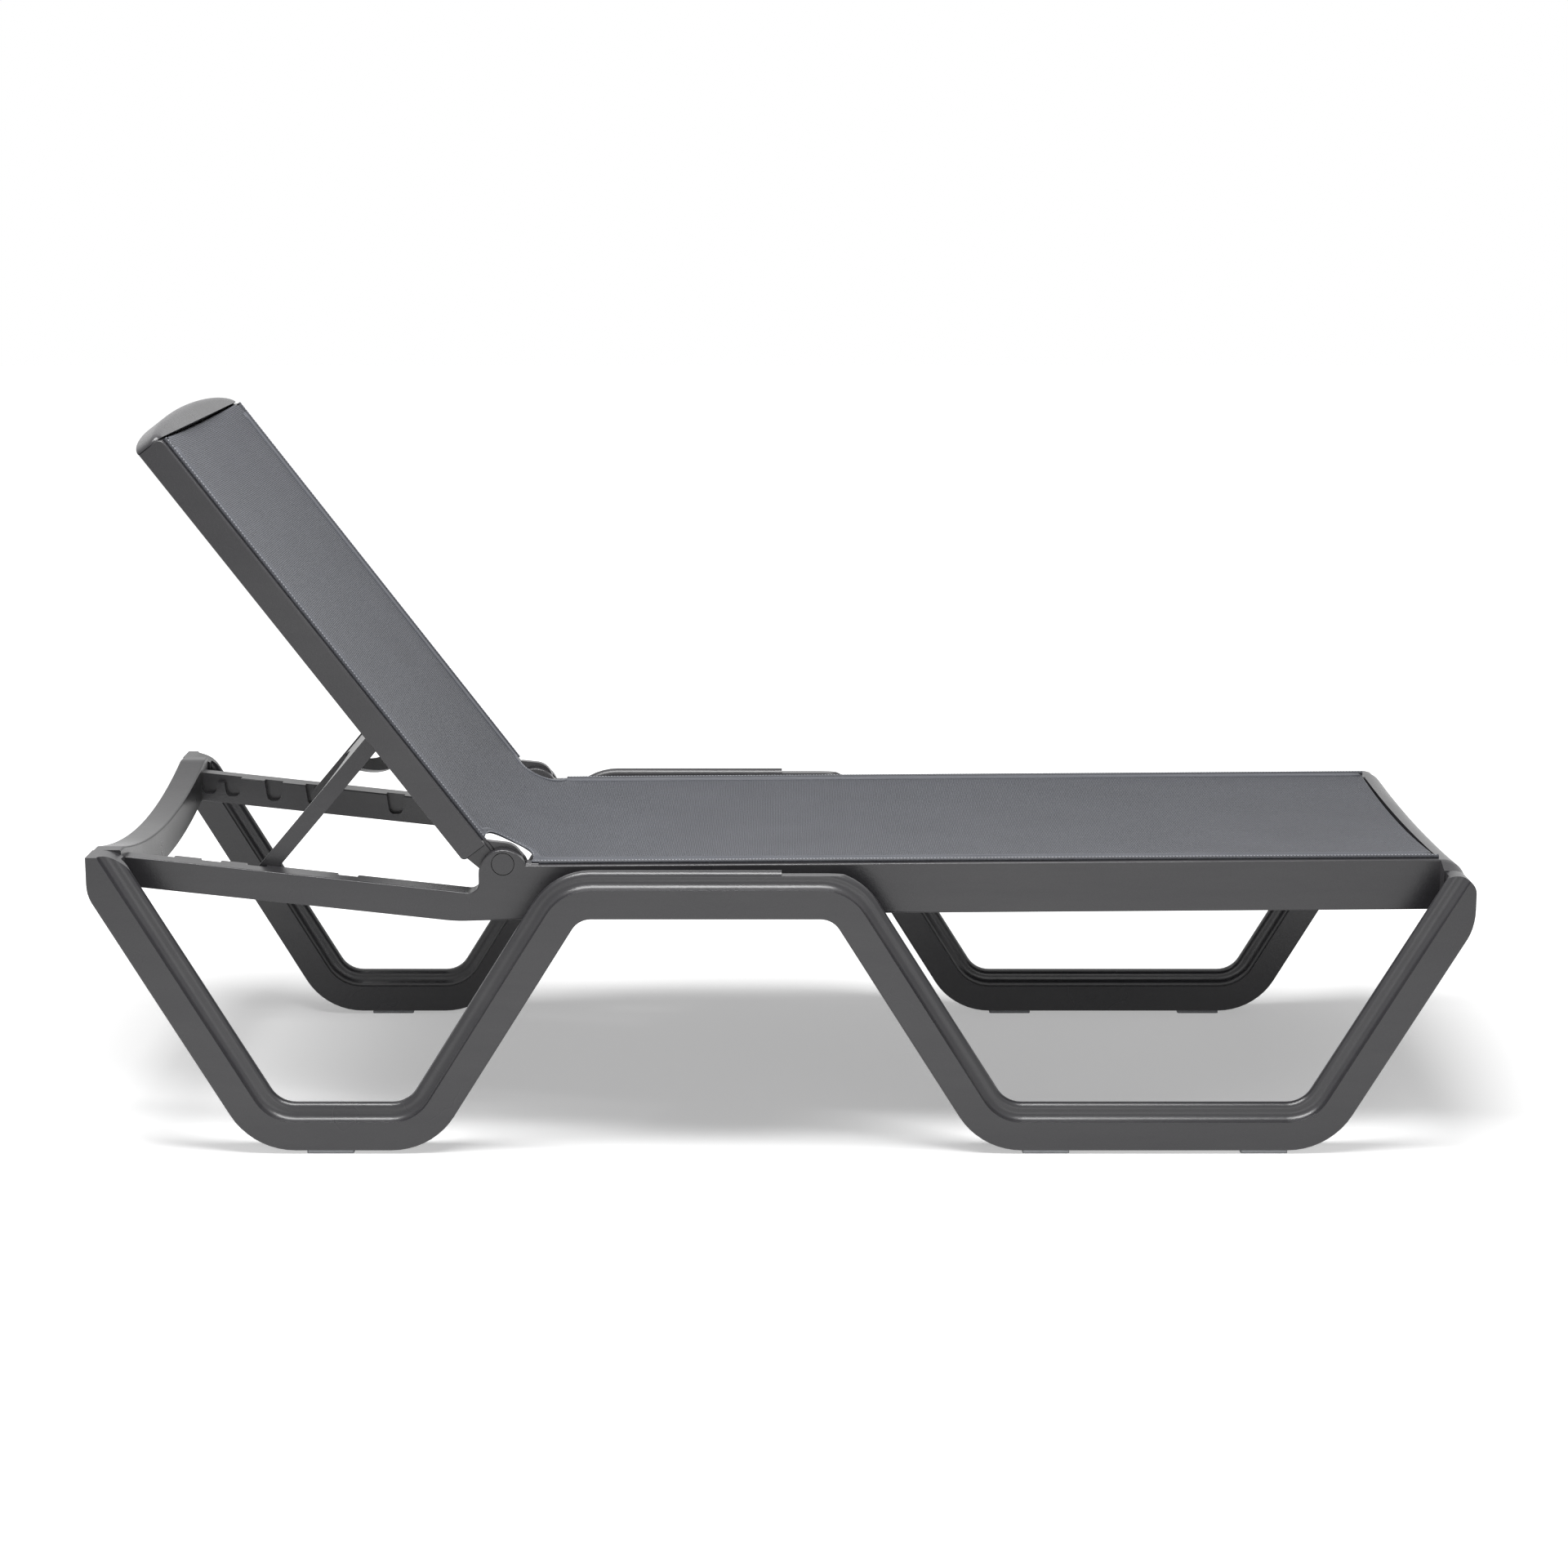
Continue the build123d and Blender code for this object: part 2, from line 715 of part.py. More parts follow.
def strut_web():
    """The plate between the arms, arched towards the foot, with the bowed grip across it."""
    reach = strut_inner()
    near = strut_length - strut_web_high
    far = strut_length - strut_web_low
    edges = [
        Line((-near, -reach), (-far, -reach)),
        ThreePointArc((-far, -reach), (-far + strut_web_rise, 0), (-far, reach)),
        Line((-far, reach), (-near, reach)),
        Line((-near, reach), (-near, -reach)),
    ]
    level = strut_web_set - strut_web_thick / 2
    return extrude(Plane.XY.offset(level) * make_face(edges), amount=strut_web_thick)


def strut_grip():
    """The bowed band, square to the arms, that a hand pulls to free the strut."""
    reach = strut_inner()
    depth = strut_grip_width
    bow = strut_grip_reach
    edges = [
        ThreePointArc((-reach, 0), (0, bow), (reach, 0)),
        Line((reach, 0), (reach, -depth)),
        ThreePointArc((reach, -depth), (0, bow - depth), (-reach, -depth)),
        Line((-reach, -depth), (-reach, 0)),
    ]
    lean = math.radians(strut_grip_lean)
    square = (math.cos(lean), 0, -math.sin(lean))
    place = (strut_grip_along - strut_length, 0, -strut_arm_width / 2)
    plane = Plane(origin=place, x_dir=(0, -1, 0), z_dir=square)
    return extrude(plane * make_face(edges), amount=strut_grip_thick / 2, both=True)


def dished_sling(thick, x_low, x_high, reach, top):
    """A sheet that lies flat on both rails and hangs a little between them."""
    low = top - thick
    dip = sling_dip
    edges = [
        Line((-reach, top), (-rail_in, top)),
        ThreePointArc((-rail_in, top), (0, top - dip), (rail_in, top)),
        Line((rail_in, top), (reach, top)),
        Line((reach, top), (reach, low)),
        Line((reach, low), (rail_in, low)),
        ThreePointArc((rail_in, low), (0, low - dip), (-rail_in, low)),
        Line((-rail_in, low), (-reach, low)),
        Line((-reach, low), (-reach, top)),
    ]
    return extrude(Plane.YZ.offset(x_low) * make_face(edges), amount=x_high - x_low)


def sling_flap(x_low, x_high, top):
    """The end of the sling, turned down behind a crossbar."""
    reach = rail_in - face_gap
    low = top - sling_end_drop
    edges = [
        ThreePointArc((-reach, top), (0, top - sling_dip), (reach, top)),
        Line((reach, top), (reach, low)),
        ThreePointArc((reach, low), (0, low - sling_dip), (-reach, low)),
        Line((-reach, low), (-reach, top)),
    ]
    return extrude(Plane.YZ.offset(x_low) * make_face(edges), amount=x_high - x_low)


def sling_bites(sheet, start, length):
    """Cut the curved corners beside the hinge out of a sheet that starts there."""
    for side in (-1, 1):
        bite = extrude(Ellipse(length, sling_corner_in), amount=overrun, both=True)
        sheet -= Pos(start, side * sling_reach, 0) * bite
    return sheet


def seat_sling():
    """The sheet over the seat, drawn along +X from the hinge."""
    stop = seat_length - sling_end_gap
    sheet = dished_sling(sling_thick, seat_sling_set, stop, sling_reach, sling_thick)
    sheet += sling_flap(stop - sling_thick, stop, sling_thick - face_gap)
    return sling_bites(sheet, seat_sling_set, seat_corner_length)


def back_sling():
    """The sheet over the backrest, drawn along -X from the hinge."""
    top = -back_rail_drop + sling_thick
    stop = -back_sling_stop
    sheet = dished_sling(sling_thick, stop, -back_sling_start, sling_reach, top)
    sheet += sling_flap(stop, stop + sling_thick, top - face_gap)
    return sling_bites(sheet, -back_sling_start, back_corner_length)


def seat_keder():
    return keder_rod(seat_sling_set + seat_corner_length, seat_length - face_gap, 0, keder_radius)


def back_keder():
    start = -back_sling_start - back_corner_length
    return keder_rod(-back_sling_stop, start, -back_rail_drop, keder_radius)


def end_rod(place):
    rod = Rot(90, 0, 0) * Cylinder(end_rod_radius, 2 * (rail_in + end_rod_bed))
    return Pos(place[0], 0, place[1]) * rod


def write_pair(solid, name, place=None):
    """Write the right-hand piece and its mirror image."""
    other = mirrored(solid)
    if place is not None:
        solid = place(solid)
        other = place(other)
    write(solid, f"right_{name}")
    write(other, f"left_{name}")


def base():
    write_pair(leg_frame(), "leg_frame")
    write_pair(side_rail(), "side_rail")
    write_pair(hinge_pin(), "hinge_pin")
    write_pair(leg_screws(), "leg_screws")
    write_pair(seat_keder(), "seat_keder", seat_place)
    for number, place in enumerate(pad_places, start=1):
        write_pair(foot_pad(place), f"foot_pad_{number}")
    write(head_crossbar(), "head_crossbar")
    write(foot_crossbar(), "foot_crossbar")
    for number, place in enumerate(seat_bar_places, start=1):
        write(seat_crossbar(place), f"seat_crossbar_{number}")
    write(seat_place(end_rod(seat_rod_place())), "seat_end_rod")
    write(seat_place(seat_sling()), "seat_sling")


def backrest():
    write_pair(back_rail(), "back_rail", back_place)
    write_pair(back_keder(), "back_keder", back_place)
    write_pair(strut_pin(), "strut_pin", back_place)
    write(back_place(back_top_crossbar()), "back_top_crossbar")
    write(back_place(back_crossbar()), "back_crossbar")
    write(back_place(end_rod(back_rod_place())), "back_end_rod")
    write(back_place(back_sling()), "back_sling")


def strut():
    write_pair(strut_arm(), "strut_arm", strut_place)
    write(strut_place(strut_web() + strut_grip()), "strut_web")


os.makedirs("parts", exist_ok=True)
base()
backrest()
strut()
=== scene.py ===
"""Dresses the sun lounger: moulded resin, a woven sling with hems and stitches, glides, studio."""

import math

import bmesh
import bpy
from bpy.props import FloatProperty, FloatVectorProperty, PointerProperty
from mathutils import Matrix, Vector


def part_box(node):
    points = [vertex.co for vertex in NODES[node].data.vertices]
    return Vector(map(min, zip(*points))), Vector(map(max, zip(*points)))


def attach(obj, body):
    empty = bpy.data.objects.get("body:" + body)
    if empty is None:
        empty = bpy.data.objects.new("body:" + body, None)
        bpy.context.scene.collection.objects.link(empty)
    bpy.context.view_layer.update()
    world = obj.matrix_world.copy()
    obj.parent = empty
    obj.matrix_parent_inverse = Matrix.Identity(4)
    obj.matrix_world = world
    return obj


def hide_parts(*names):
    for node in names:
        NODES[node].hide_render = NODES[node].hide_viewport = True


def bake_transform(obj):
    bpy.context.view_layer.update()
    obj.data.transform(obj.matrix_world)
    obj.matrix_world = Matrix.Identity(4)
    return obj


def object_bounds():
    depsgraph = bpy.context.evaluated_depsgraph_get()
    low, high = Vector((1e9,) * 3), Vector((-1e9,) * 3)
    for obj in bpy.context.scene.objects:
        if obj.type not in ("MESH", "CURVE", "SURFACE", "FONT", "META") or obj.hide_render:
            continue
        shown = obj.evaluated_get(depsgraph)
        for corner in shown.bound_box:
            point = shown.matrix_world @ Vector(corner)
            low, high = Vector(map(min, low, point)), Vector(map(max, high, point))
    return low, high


bl_info = {
    "name": "Sun Lounger Finish",
    "version": (1, 0, 0),
    "blender": (4, 5, 0),
    "location": "View3D > Sidebar > Lounger",
    "description": "Gives a sun lounger its resin, its woven sling and a studio",
    "category": "Object",
}

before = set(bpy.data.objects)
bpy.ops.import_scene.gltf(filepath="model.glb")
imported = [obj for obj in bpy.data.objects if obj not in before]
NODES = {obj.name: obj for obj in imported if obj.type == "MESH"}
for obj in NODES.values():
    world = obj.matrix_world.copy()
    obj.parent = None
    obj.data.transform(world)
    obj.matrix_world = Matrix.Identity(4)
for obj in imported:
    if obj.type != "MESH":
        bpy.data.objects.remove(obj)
CAD_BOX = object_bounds()
NODE_TOPS = {name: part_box(name)[1][2] for name in ("head_crossbar", "foot_crossbar")}
STEEL_PARTS = ("leg_screws", "strut_pin", "end_rod")
GLIDE_PARTS = ("foot_pad",)
CLOTH_PARTS = ("sling", "keder")
FLAT_CUT = "flat_cut"

BAR_STEPS = 64
BAR_END_STEPS = 4
BAR_SMOOTH = math.radians(40)
HEAD_ROUND_STEPS = 3
FOOT_NOSE_STEPS = 14
ROD_SIDES = 32
TENON_RADIUS = 0.008
TENON_LENGTH = 0.017
TENON_OUT = 0.0075
PEG_RADIUS = 0.006
PEG_LENGTH = 0.015
PEG_OUT = 0.0065
PEG_IN = 0.013
HEAD_TENON_IN = 0.0115
HEAD_TENON_DROP = 0.021
HEAD_PEG_DROP = 0.027
FOOT_TENON_IN = 0.0155
FOOT_TENON_LIFT = 0.0135
FOOT_PEG_LIFT = 0.030

BITE_STEPS = 48
SHEET_STEPS = 72
HEM_STEPS = 12
FINE_REACH = 0.13
EDGE_BEND_POWER = 10
RIDGE_HEIGHT = 0.0009
RIDGE_PLACE = 0.22
RIDGE_SPREAD = 0.16

BEAD_DARK = (0.018, 0.019, 0.024)
BEAD_LIGHT = (0.050, 0.053, 0.063)
STITCH_COLOUR = (0.36, 0.37, 0.40)
STITCH_WIDTH_SHARE = 0.30
STITCH_LENGTH_SHARE = 0.36
STITCH_HALF_WIDTH = 0.00042
STITCH_HALF_HEIGHT = 0.00034
STITCH_INSET = 0.0042
STITCH_LIFT = 0.0001
STITCH_WALK = 0.0004

CAMERA_X = 0.003
SENSOR_WIDTH = 36.0
FLOOR_HALF = 14.0
FLOOR_GREY = 0.80
FLOOR_GREY_HIGH = 0.82
# Floor glow near the lounger, and the distances over which it rises to white: the dimmer glow near
# the lounger is a painted shadow on the floor.
PAINTED_SHADOW_GLOW = 0.38
PAINTED_SHADOW_REACH = 0.40
PAINTED_SHADOW_FADE_END = 1.25
WORLD_LIGHT = 0.08
LAMPS = (
    ("overhead_box", (-0.35, -0.65, 2.9), (-0.2, -0.1, 0.3), (2.4, 1.1), 118.0),
    ("front_box", (0.3, -2.6, 0.7), (0.3, 0.0, 0.1), (2.2, 0.7), 8.0),
)


class LoungerResin(bpy.types.PropertyGroup):
    colour: FloatVectorProperty(
        name="Resin colour", description="Colour of the moulded frame", subtype="COLOR",
        size=3, min=0.0, max=1.0, default=(0.038, 0.0372, 0.0398),
    )
    shade: FloatVectorProperty(
        name="Darker shade", description="Colour of the flow marks in the resin",
        subtype="COLOR", size=3, min=0.0, max=1.0, default=(0.028, 0.0272, 0.0305),
    )
    grain: FloatProperty(
        name="Grain size", description="Size of the fine grain of the mould",
        subtype="DISTANCE", unit="LENGTH", min=0.0002, max=0.005, default=0.0009,
    )
    roughness: FloatProperty(
        name="Roughness", description="How matt the moulded faces are",
        subtype="FACTOR", min=0.2, max=1.0, default=0.28,
    )


class LoungerCrossbars(bpy.types.PropertyGroup):
    reach: FloatProperty(
        name="Half length", description="From the middle to the crossbars' ends",
        subtype="DISTANCE", unit="LENGTH", min=0.2, max=0.5, default=0.3075,
    )
    head_width: FloatProperty(
        name="Head bar width", description="Width of the crossbar at the head end",
        subtype="DISTANCE", unit="LENGTH", min=0.01, max=0.1, default=0.036,
    )
    head_height: FloatProperty(
        name="Head bar height", description="Height of the crossbar at the head end",
        subtype="DISTANCE", unit="LENGTH", min=0.01, max=0.1, default=0.047,
    )
    head_dip: FloatProperty(
        name="Head bar dip", description="How far its middle lies under its ends",
        subtype="DISTANCE", unit="LENGTH", min=0.0, max=0.1, default=0.030,
    )
    head_round: FloatProperty(
        name="Head bar rounding", description="Radius of its long edges",
        subtype="DISTANCE", unit="LENGTH", min=0.0005, max=0.01, default=0.0025,
    )
    foot_width: FloatProperty(
        name="Foot bar width", description="Width of the crossbar at the foot end",
        subtype="DISTANCE", unit="LENGTH", min=0.01, max=0.1, default=0.0325,
    )
    foot_height: FloatProperty(
        name="Foot bar height", description="Height of the crossbar at the foot end",
        subtype="DISTANCE", unit="LENGTH", min=0.01, max=0.1, default=0.0652,
    )
    foot_dip: FloatProperty(
        name="Foot bar dip", description="How far its middle lies under its ends",
        subtype="DISTANCE", unit="LENGTH", min=0.0, max=0.05, default=0.007,
    )
    foot_nose: FloatProperty(
        name="Foot bar nose", description="Radius of its upper outer edge",
        subtype="DISTANCE", unit="LENGTH", min=0.001, max=0.032, default=0.0302,
    )
    foot_fall: FloatProperty(
        name="Foot bar fall", description="How far its top falls from the rails to its ends",
        subtype="DISTANCE", unit="LENGTH", min=0.0, max=0.02, default=0.009,
    )


class LoungerSling(bpy.types.PropertyGroup):
    colour: FloatVectorProperty(
        name="Yarn colour", description="Colour of the sling's lighter yarns", subtype="COLOR",
        size=3, min=0.0, max=1.0, default=(0.114, 0.119, 0.138),
    )
    # The ground colour is reached in the rib troughs, where it stands as painted shade, as well as
    # in the yarns' darker flecks.
    shade: FloatVectorProperty(
        name="Ground colour", description="Colour between the sling's yarns", subtype="COLOR",
        size=3, min=0.0, max=1.0, default=(0.008, 0.009, 0.012),
    )
    thickness: FloatProperty(
        name="Thickness", description="Thickness of the woven sheet", subtype="DISTANCE",
        unit="LENGTH", min=0.0005, max=0.004, default=0.0014,
    )
    bend: FloatProperty(
        name="Hinge bend", description="Radius of the sheet's free bend beside the hinge",
        subtype="DISTANCE", unit="LENGTH", min=0.05, max=0.4, default=0.183,
    )
    edge_bend: FloatProperty(
        name="Edge bend", description="Radius of the same bend at the rails",
        subtype="DISTANCE", unit="LENGTH", min=0.03, max=0.2, default=0.072,
    )
    bite_depth: FloatProperty(
        name="Cut-out depth", description="How far the cut-outs at the hinge go into the sheet",
        subtype="DISTANCE", unit="LENGTH", min=0.0, max=0.15, default=0.052,
    )
    bite_length: FloatProperty(
        name="Cut-out length", description="Length of the cut-outs along the sheet",
        subtype="DISTANCE", unit="LENGTH", min=0.02, max=0.2, default=0.076,
    )
    side_hem: FloatProperty(
        name="Side hem", description="Width of the doubled band along the rails",
        subtype="DISTANCE", unit="LENGTH", min=0.005, max=0.05, default=0.021,
    )
    rib: FloatProperty(
        name="Rib pitch", description="Distance from one cross rib of the weave to the next",
        subtype="DISTANCE", unit="LENGTH", min=0.0008, max=0.006, default=0.0023,
    )
    dip: FloatProperty(
        name="Dip", description="How far the sheet hangs between the rails",
        subtype="DISTANCE", unit="LENGTH", min=0.0, max=0.03, default=0.009,
    )
    hem: FloatProperty(
        name="Hem width", description="Width of the turned edge round the cut-outs",
        subtype="DISTANCE", unit="LENGTH", min=0.005, max=0.03, default=0.009,
    )
    hem_thickness: FloatProperty(
        name="Hem thickness", description="Thickness of the sheet where it is turned and doubled",
        subtype="DISTANCE", unit="LENGTH", min=0.001, max=0.006, default=0.0024,
    )
    stitch: FloatProperty(
        name="Stitch pitch", description="Distance from one stitch to the next",
        subtype="DISTANCE", unit="LENGTH", min=0.0015, max=0.01, default=0.0043,
    )


class LoungerStage(bpy.types.PropertyGroup):
    lens: FloatProperty(
        name="Lens", description="Focal length of the camera in millimetres",
        min=20.0, max=200.0, default=72.28,
    )
    tilt: FloatProperty(
        name="Tilt", description="How far the camera looks down", subtype="ANGLE",
        unit="ROTATION", min=0.0, max=1.0, default=math.radians(11.55),
    )
    distance: FloatProperty(
        name="Distance", description="From the camera to the lounger's middle plane",
        subtype="DISTANCE", unit="LENGTH", min=1.0, max=10.0, default=4.2,
    )
    height: FloatProperty(
        name="Height", description="Height of the camera over the floor",
        subtype="DISTANCE", unit="LENGTH", min=0.1, max=3.0, default=1.269,
    )


def new_material(name):
    """A material with a Principled shader, its node tree and the shader itself."""
    material = bpy.data.materials.new(name)
    material.use_nodes = True
    tree = material.node_tree
    return material, tree, tree.nodes["Principled BSDF"]


def noise(tree, vector, scale, detail=2.0, roughness=0.5):
    """Soft random cloud, from 0 to 1."""
    node = tree.nodes.new("ShaderNodeTexNoise")
    node.inputs["Scale"].default_value = scale
    node.inputs["Detail"].default_value = detail
    node.inputs["Roughness"].default_value = roughness
    tree.links.new(vector, node.inputs["Vector"])
    return node.outputs["Fac"]


def stretched(tree, vector, scale, shift=(0.0, 0.0, 0.0)):
    """The same coordinates, drawn out along some of their axes, then shifted."""
    node = tree.nodes.new("ShaderNodeMapping")
    node.inputs["Location"].default_value = shift
    node.inputs["Scale"].default_value = scale
    tree.links.new(vector, node.inputs["Vector"])
    return node.outputs["Vector"]


def ramp(tree, value, stops):
    """A colour ramp; each stop is a place and a colour or a grey."""
    node = tree.nodes.new("ShaderNodeValToRGB")
    elements = node.color_ramp.elements
    while len(elements) < len(stops):
        elements.new(0.5)
    for element, (place, colour) in zip(elements, stops):
        element.position = place
        if not hasattr(colour, "__len__"):
            colour = (colour, colour, colour)
        element.color = (*colour, 1.0)
    tree.links.new(value, node.inputs["Fac"])
    return node.outputs["Color"]


def math_node(tree, operation, first, second=0.0):
    """One step of arithmetic on sockets or numbers."""
    node = tree.nodes.new("ShaderNodeMath")
    node.operation = operation
    for socket, value in zip(node.inputs, (first, second)):
        if isinstance(value, bpy.types.NodeSocket):
            tree.links.new(value, socket)
        else:
            socket.default_value = value
    return node.outputs[0]


def bump(tree, height, distance, strength, below=None):
    """Relief from a height, on top of the relief below it."""
    node = tree.nodes.new("ShaderNodeBump")
    node.inputs["Distance"].default_value = distance
    node.inputs["Strength"].default_value = strength
    tree.links.new(height, node.inputs["Height"])
    if below is not None:
        tree.links.new(below, node.inputs["Normal"])
    return node.outputs["Normal"]


def spread(tree, value, low, high):
    """A value from 0 to 1 turned into one from low to high."""
    node = tree.nodes.new("ShaderNodeMapRange")
    node.inputs["To Min"].default_value = low
    node.inputs["To Max"].default_value = high
    tree.links.new(value, node.inputs["Value"])
    return node.outputs["Result"]


def object_place(tree):
    """Coordinates that are fixed to the piece."""
    return tree.nodes.new("ShaderNodeTexCoord").outputs["Object"]


def cloth_place(tree):
    """Coordinates on the cloth as it was cut, before it was stretched."""
    node = tree.nodes.new("ShaderNodeUVMap")
    node.uv_map = FLAT_CUT
    return node.outputs["UV"]


def parted(tree, vector):
    """The X, Y and Z of a place, one by one."""
    node = tree.nodes.new("ShaderNodeSeparateXYZ")
    tree.links.new(vector, node.inputs["Vector"])
    return node.outputs["X"], node.outputs["Y"], node.outputs["Z"]


def mix_node(tree, blend, first):
    """A colour mix and its inputs for share and second colour."""
    node = tree.nodes.new("ShaderNodeMix")
    node.data_type = "RGBA"
    node.blend_type = blend
    tree.links.new(first, node.inputs[6])
    return node.outputs[2], node.inputs[0], node.inputs[7]


def turns(tree, value, pitch):
    """A wave along a measure, with one rise and fall for each pitch."""
    return math_node(tree, "SINE", math_node(tree, "MULTIPLY", value, 2 * math.pi / pitch))


def resin_material(settings):
    """Gas-moulded polypropylene: eggshell grain and faint flow marks."""
    material, tree, shader = new_material("moulded_resin")
    place = object_place(tree)
    cloud = noise(tree, place, 6.0, 3.0)
    streak = noise(tree, stretched(tree, place, (3.0, 30.0, 24.0)), 1.6, 3.0, 0.6)
    flow = math_node(tree, "MULTIPLY", cloud, streak)
    tone = ramp(tree, flow, [(0.12, tuple(settings.shade)), (0.42, tuple(settings.colour))])
    speck = noise(tree, place, 1.0 / settings.grain, 1.0)
    fleck = ramp(tree, speck, [(0.30, 0.90), (0.70, 1.06)])
    result, share, second = mix_node(tree, "MULTIPLY", tone)
    share.default_value = 1.0
    tree.links.new(fleck, second)
    tree.links.new(result, shader.inputs["Base Color"])
    matt = settings.roughness
    tree.links.new(spread(tree, cloud, matt - 0.07, matt + 0.09), shader.inputs["Roughness"])
    shader.inputs["Specular IOR Level"].default_value = 0.52
    skin = noise(tree, place, 0.22 / settings.grain, 2.0)
    lower = bump(tree, skin, 0.0003, 0.35)
    tree.links.new(bump(tree, speck, 0.00012, 0.8, lower), shader.inputs["Normal"])
    return material


def glide_material():
    """Soft pale plastic under the loops, scuffed from the floor."""
    material, tree, shader = new_material("glide_plastic")
    place = object_place(tree)
    scuff = noise(tree, stretched(tree, place, (40.0, 260.0, 120.0)), 3.0, 4.0, 0.7)
    tone = ramp(tree, scuff, [(0.35, (0.36, 0.37, 0.39)), (0.65, (0.44, 0.45, 0.47))])
    tree.links.new(tone, shader.inputs["Base Color"])
    tree.links.new(spread(tree, scuff, 0.55, 0.75), shader.inputs["Roughness"])
    fine = noise(tree, place, 900.0, 1.0)
    tree.links.new(bump(tree, fine, 0.0001, 0.6), shader.inputs["Normal"])
    return material


def steel_material():
    """Brushed stainless steel for the screws, pins and rods."""
    material, tree, shader = new_material("brushed_steel")
    place = object_place(tree)
    brush = noise(tree, stretched(tree, place, (900.0, 60.0, 900.0)), 1.0, 3.0, 0.6)
    tone = ramp(tree, brush, [(0.3, (0.50, 0.50, 0.51)), (0.7, (0.62, 0.62, 0.63))])
    tree.links.new(tone, shader.inputs["Base Color"])
    shader.inputs["Metallic"].default_value = 1.0
    tree.links.new(spread(tree, brush, 0.24, 0.42), shader.inputs["Roughness"])
    tree.links.new(bump(tree, brush, 0.00004, 0.5), shader.inputs["Normal"])
    return material


def cloth_material(sling):
    """Coated yarn: fine ribs across the sheet whose troughs are darkened in colour as painted
    shade, yarns of two greys, each a little uneven.
    """
    material, tree, shader = new_material("sling_weave")
    place = cloth_place(tree)
    run, across, _ = parted(tree, place)
    drift = noise(tree, stretched(tree, place, (90.0, 12.0, 1.0)), 1.0, 1.0)
    bent = math_node(tree, "ADD", run, math_node(tree, "MULTIPLY", drift, 0.0006))
    rib = turns(tree, bent, sling.rib)
    warp = turns(tree, across, sling.rib * 0.62)
    crossed = math_node(tree, "MULTIPLY", rib, warp)
    yarn = noise(tree, stretched(tree, place, (1.0 / sling.rib, 130.0, 1.0)), 0.9, 2.0, 0.6)
    fleck = noise(tree, stretched(tree, place, (700.0, 420.0, 1.0)), 1.0, 1.0)
    cloud = noise(tree, place, 9.0, 2.0)
    # The rib wave that raises the ribs also darkens their troughs in colour: painted shade in the
    # weave's hollows.
    rib_painted_shade = spread(tree, rib, 0.0, 1.0)
    rib_painted_shade.node.inputs["From Min"].default_value = -1.0
    mix = math_node(tree, "MULTIPLY", rib_painted_shade, 0.42)
    for layer, weight in ((yarn, 0.40), (fleck, 0.30), (cloud, 0.12)):
        mix = math_node(tree, "ADD", mix, math_node(tree, "MULTIPLY", layer, weight))
    tone = ramp(tree, mix, [(0.30, tuple(sling.shade)), (0.90, tuple(sling.colour))])
    tree.links.new(tone, shader.inputs["Base Color"])
    tree.links.new(spread(tree, yarn, 0.42, 0.62), shader.inputs["Roughness"])
    shader.inputs["Specular IOR Level"].default_value = 0.22
    shader.inputs["Sheen Weight"].default_value = 0.04
    shader.inputs["Sheen Roughness"].default_value = 0.5
    lower = bump(tree, rib, 0.00038, 0.8)
    upper = bump(tree, crossed, 0.00018, 0.6, lower)
    tree.links.new(bump(tree, fleck, 0.00025, 0.5, upper), shader.inputs["Normal"])
    return material


def hem_material(sling):
    """The same cloth turned under and pressed flat by the seam: paler and smoother."""
    material, tree, shader = new_material("hem_weave")
    place = cloth_place(tree)
    yarn = noise(tree, stretched(tree, place, (900.0, 500.0, 1.0)), 1.0, 1.0, 0.6)
    pressed = noise(tree, stretched(tree, place, (12.0, 160.0, 1.0)), 1.0, 2.0)
    light = tuple(part * 0.78 for part in sling.colour)
    dark = tuple(part * 3.6 for part in sling.shade)
    fine = math_node(tree, "MULTIPLY", yarn, 0.6)
    mix = math_node(tree, "ADD", fine, math_node(tree, "MULTIPLY", pressed, 0.4))
    tone = ramp(tree, mix, [(0.32, dark), (0.68, light)])
    tree.links.new(tone, shader.inputs["Base Color"])
    tree.links.new(spread(tree, yarn, 0.40, 0.55), shader.inputs["Roughness"])
    tree.links.new(bump(tree, mix, 0.00012, 0.5), shader.inputs["Normal"])
    return material


def thread_material():
    """Pale polyester sewing thread."""
    material, tree, shader = new_material("sewing_thread")
    ply = noise(tree, stretched(tree, object_place(tree), (2600.0, 900.0, 900.0)), 1.0, 1.0)
    tone = ramp(tree, ply, [(0.3, (0.40, 0.41, 0.43)), (0.7, (0.55, 0.56, 0.58))])
    tree.links.new(tone, shader.inputs["Base Color"])
    tree.links.new(spread(tree, ply, 0.40, 0.60), shader.inputs["Roughness"])
    return material


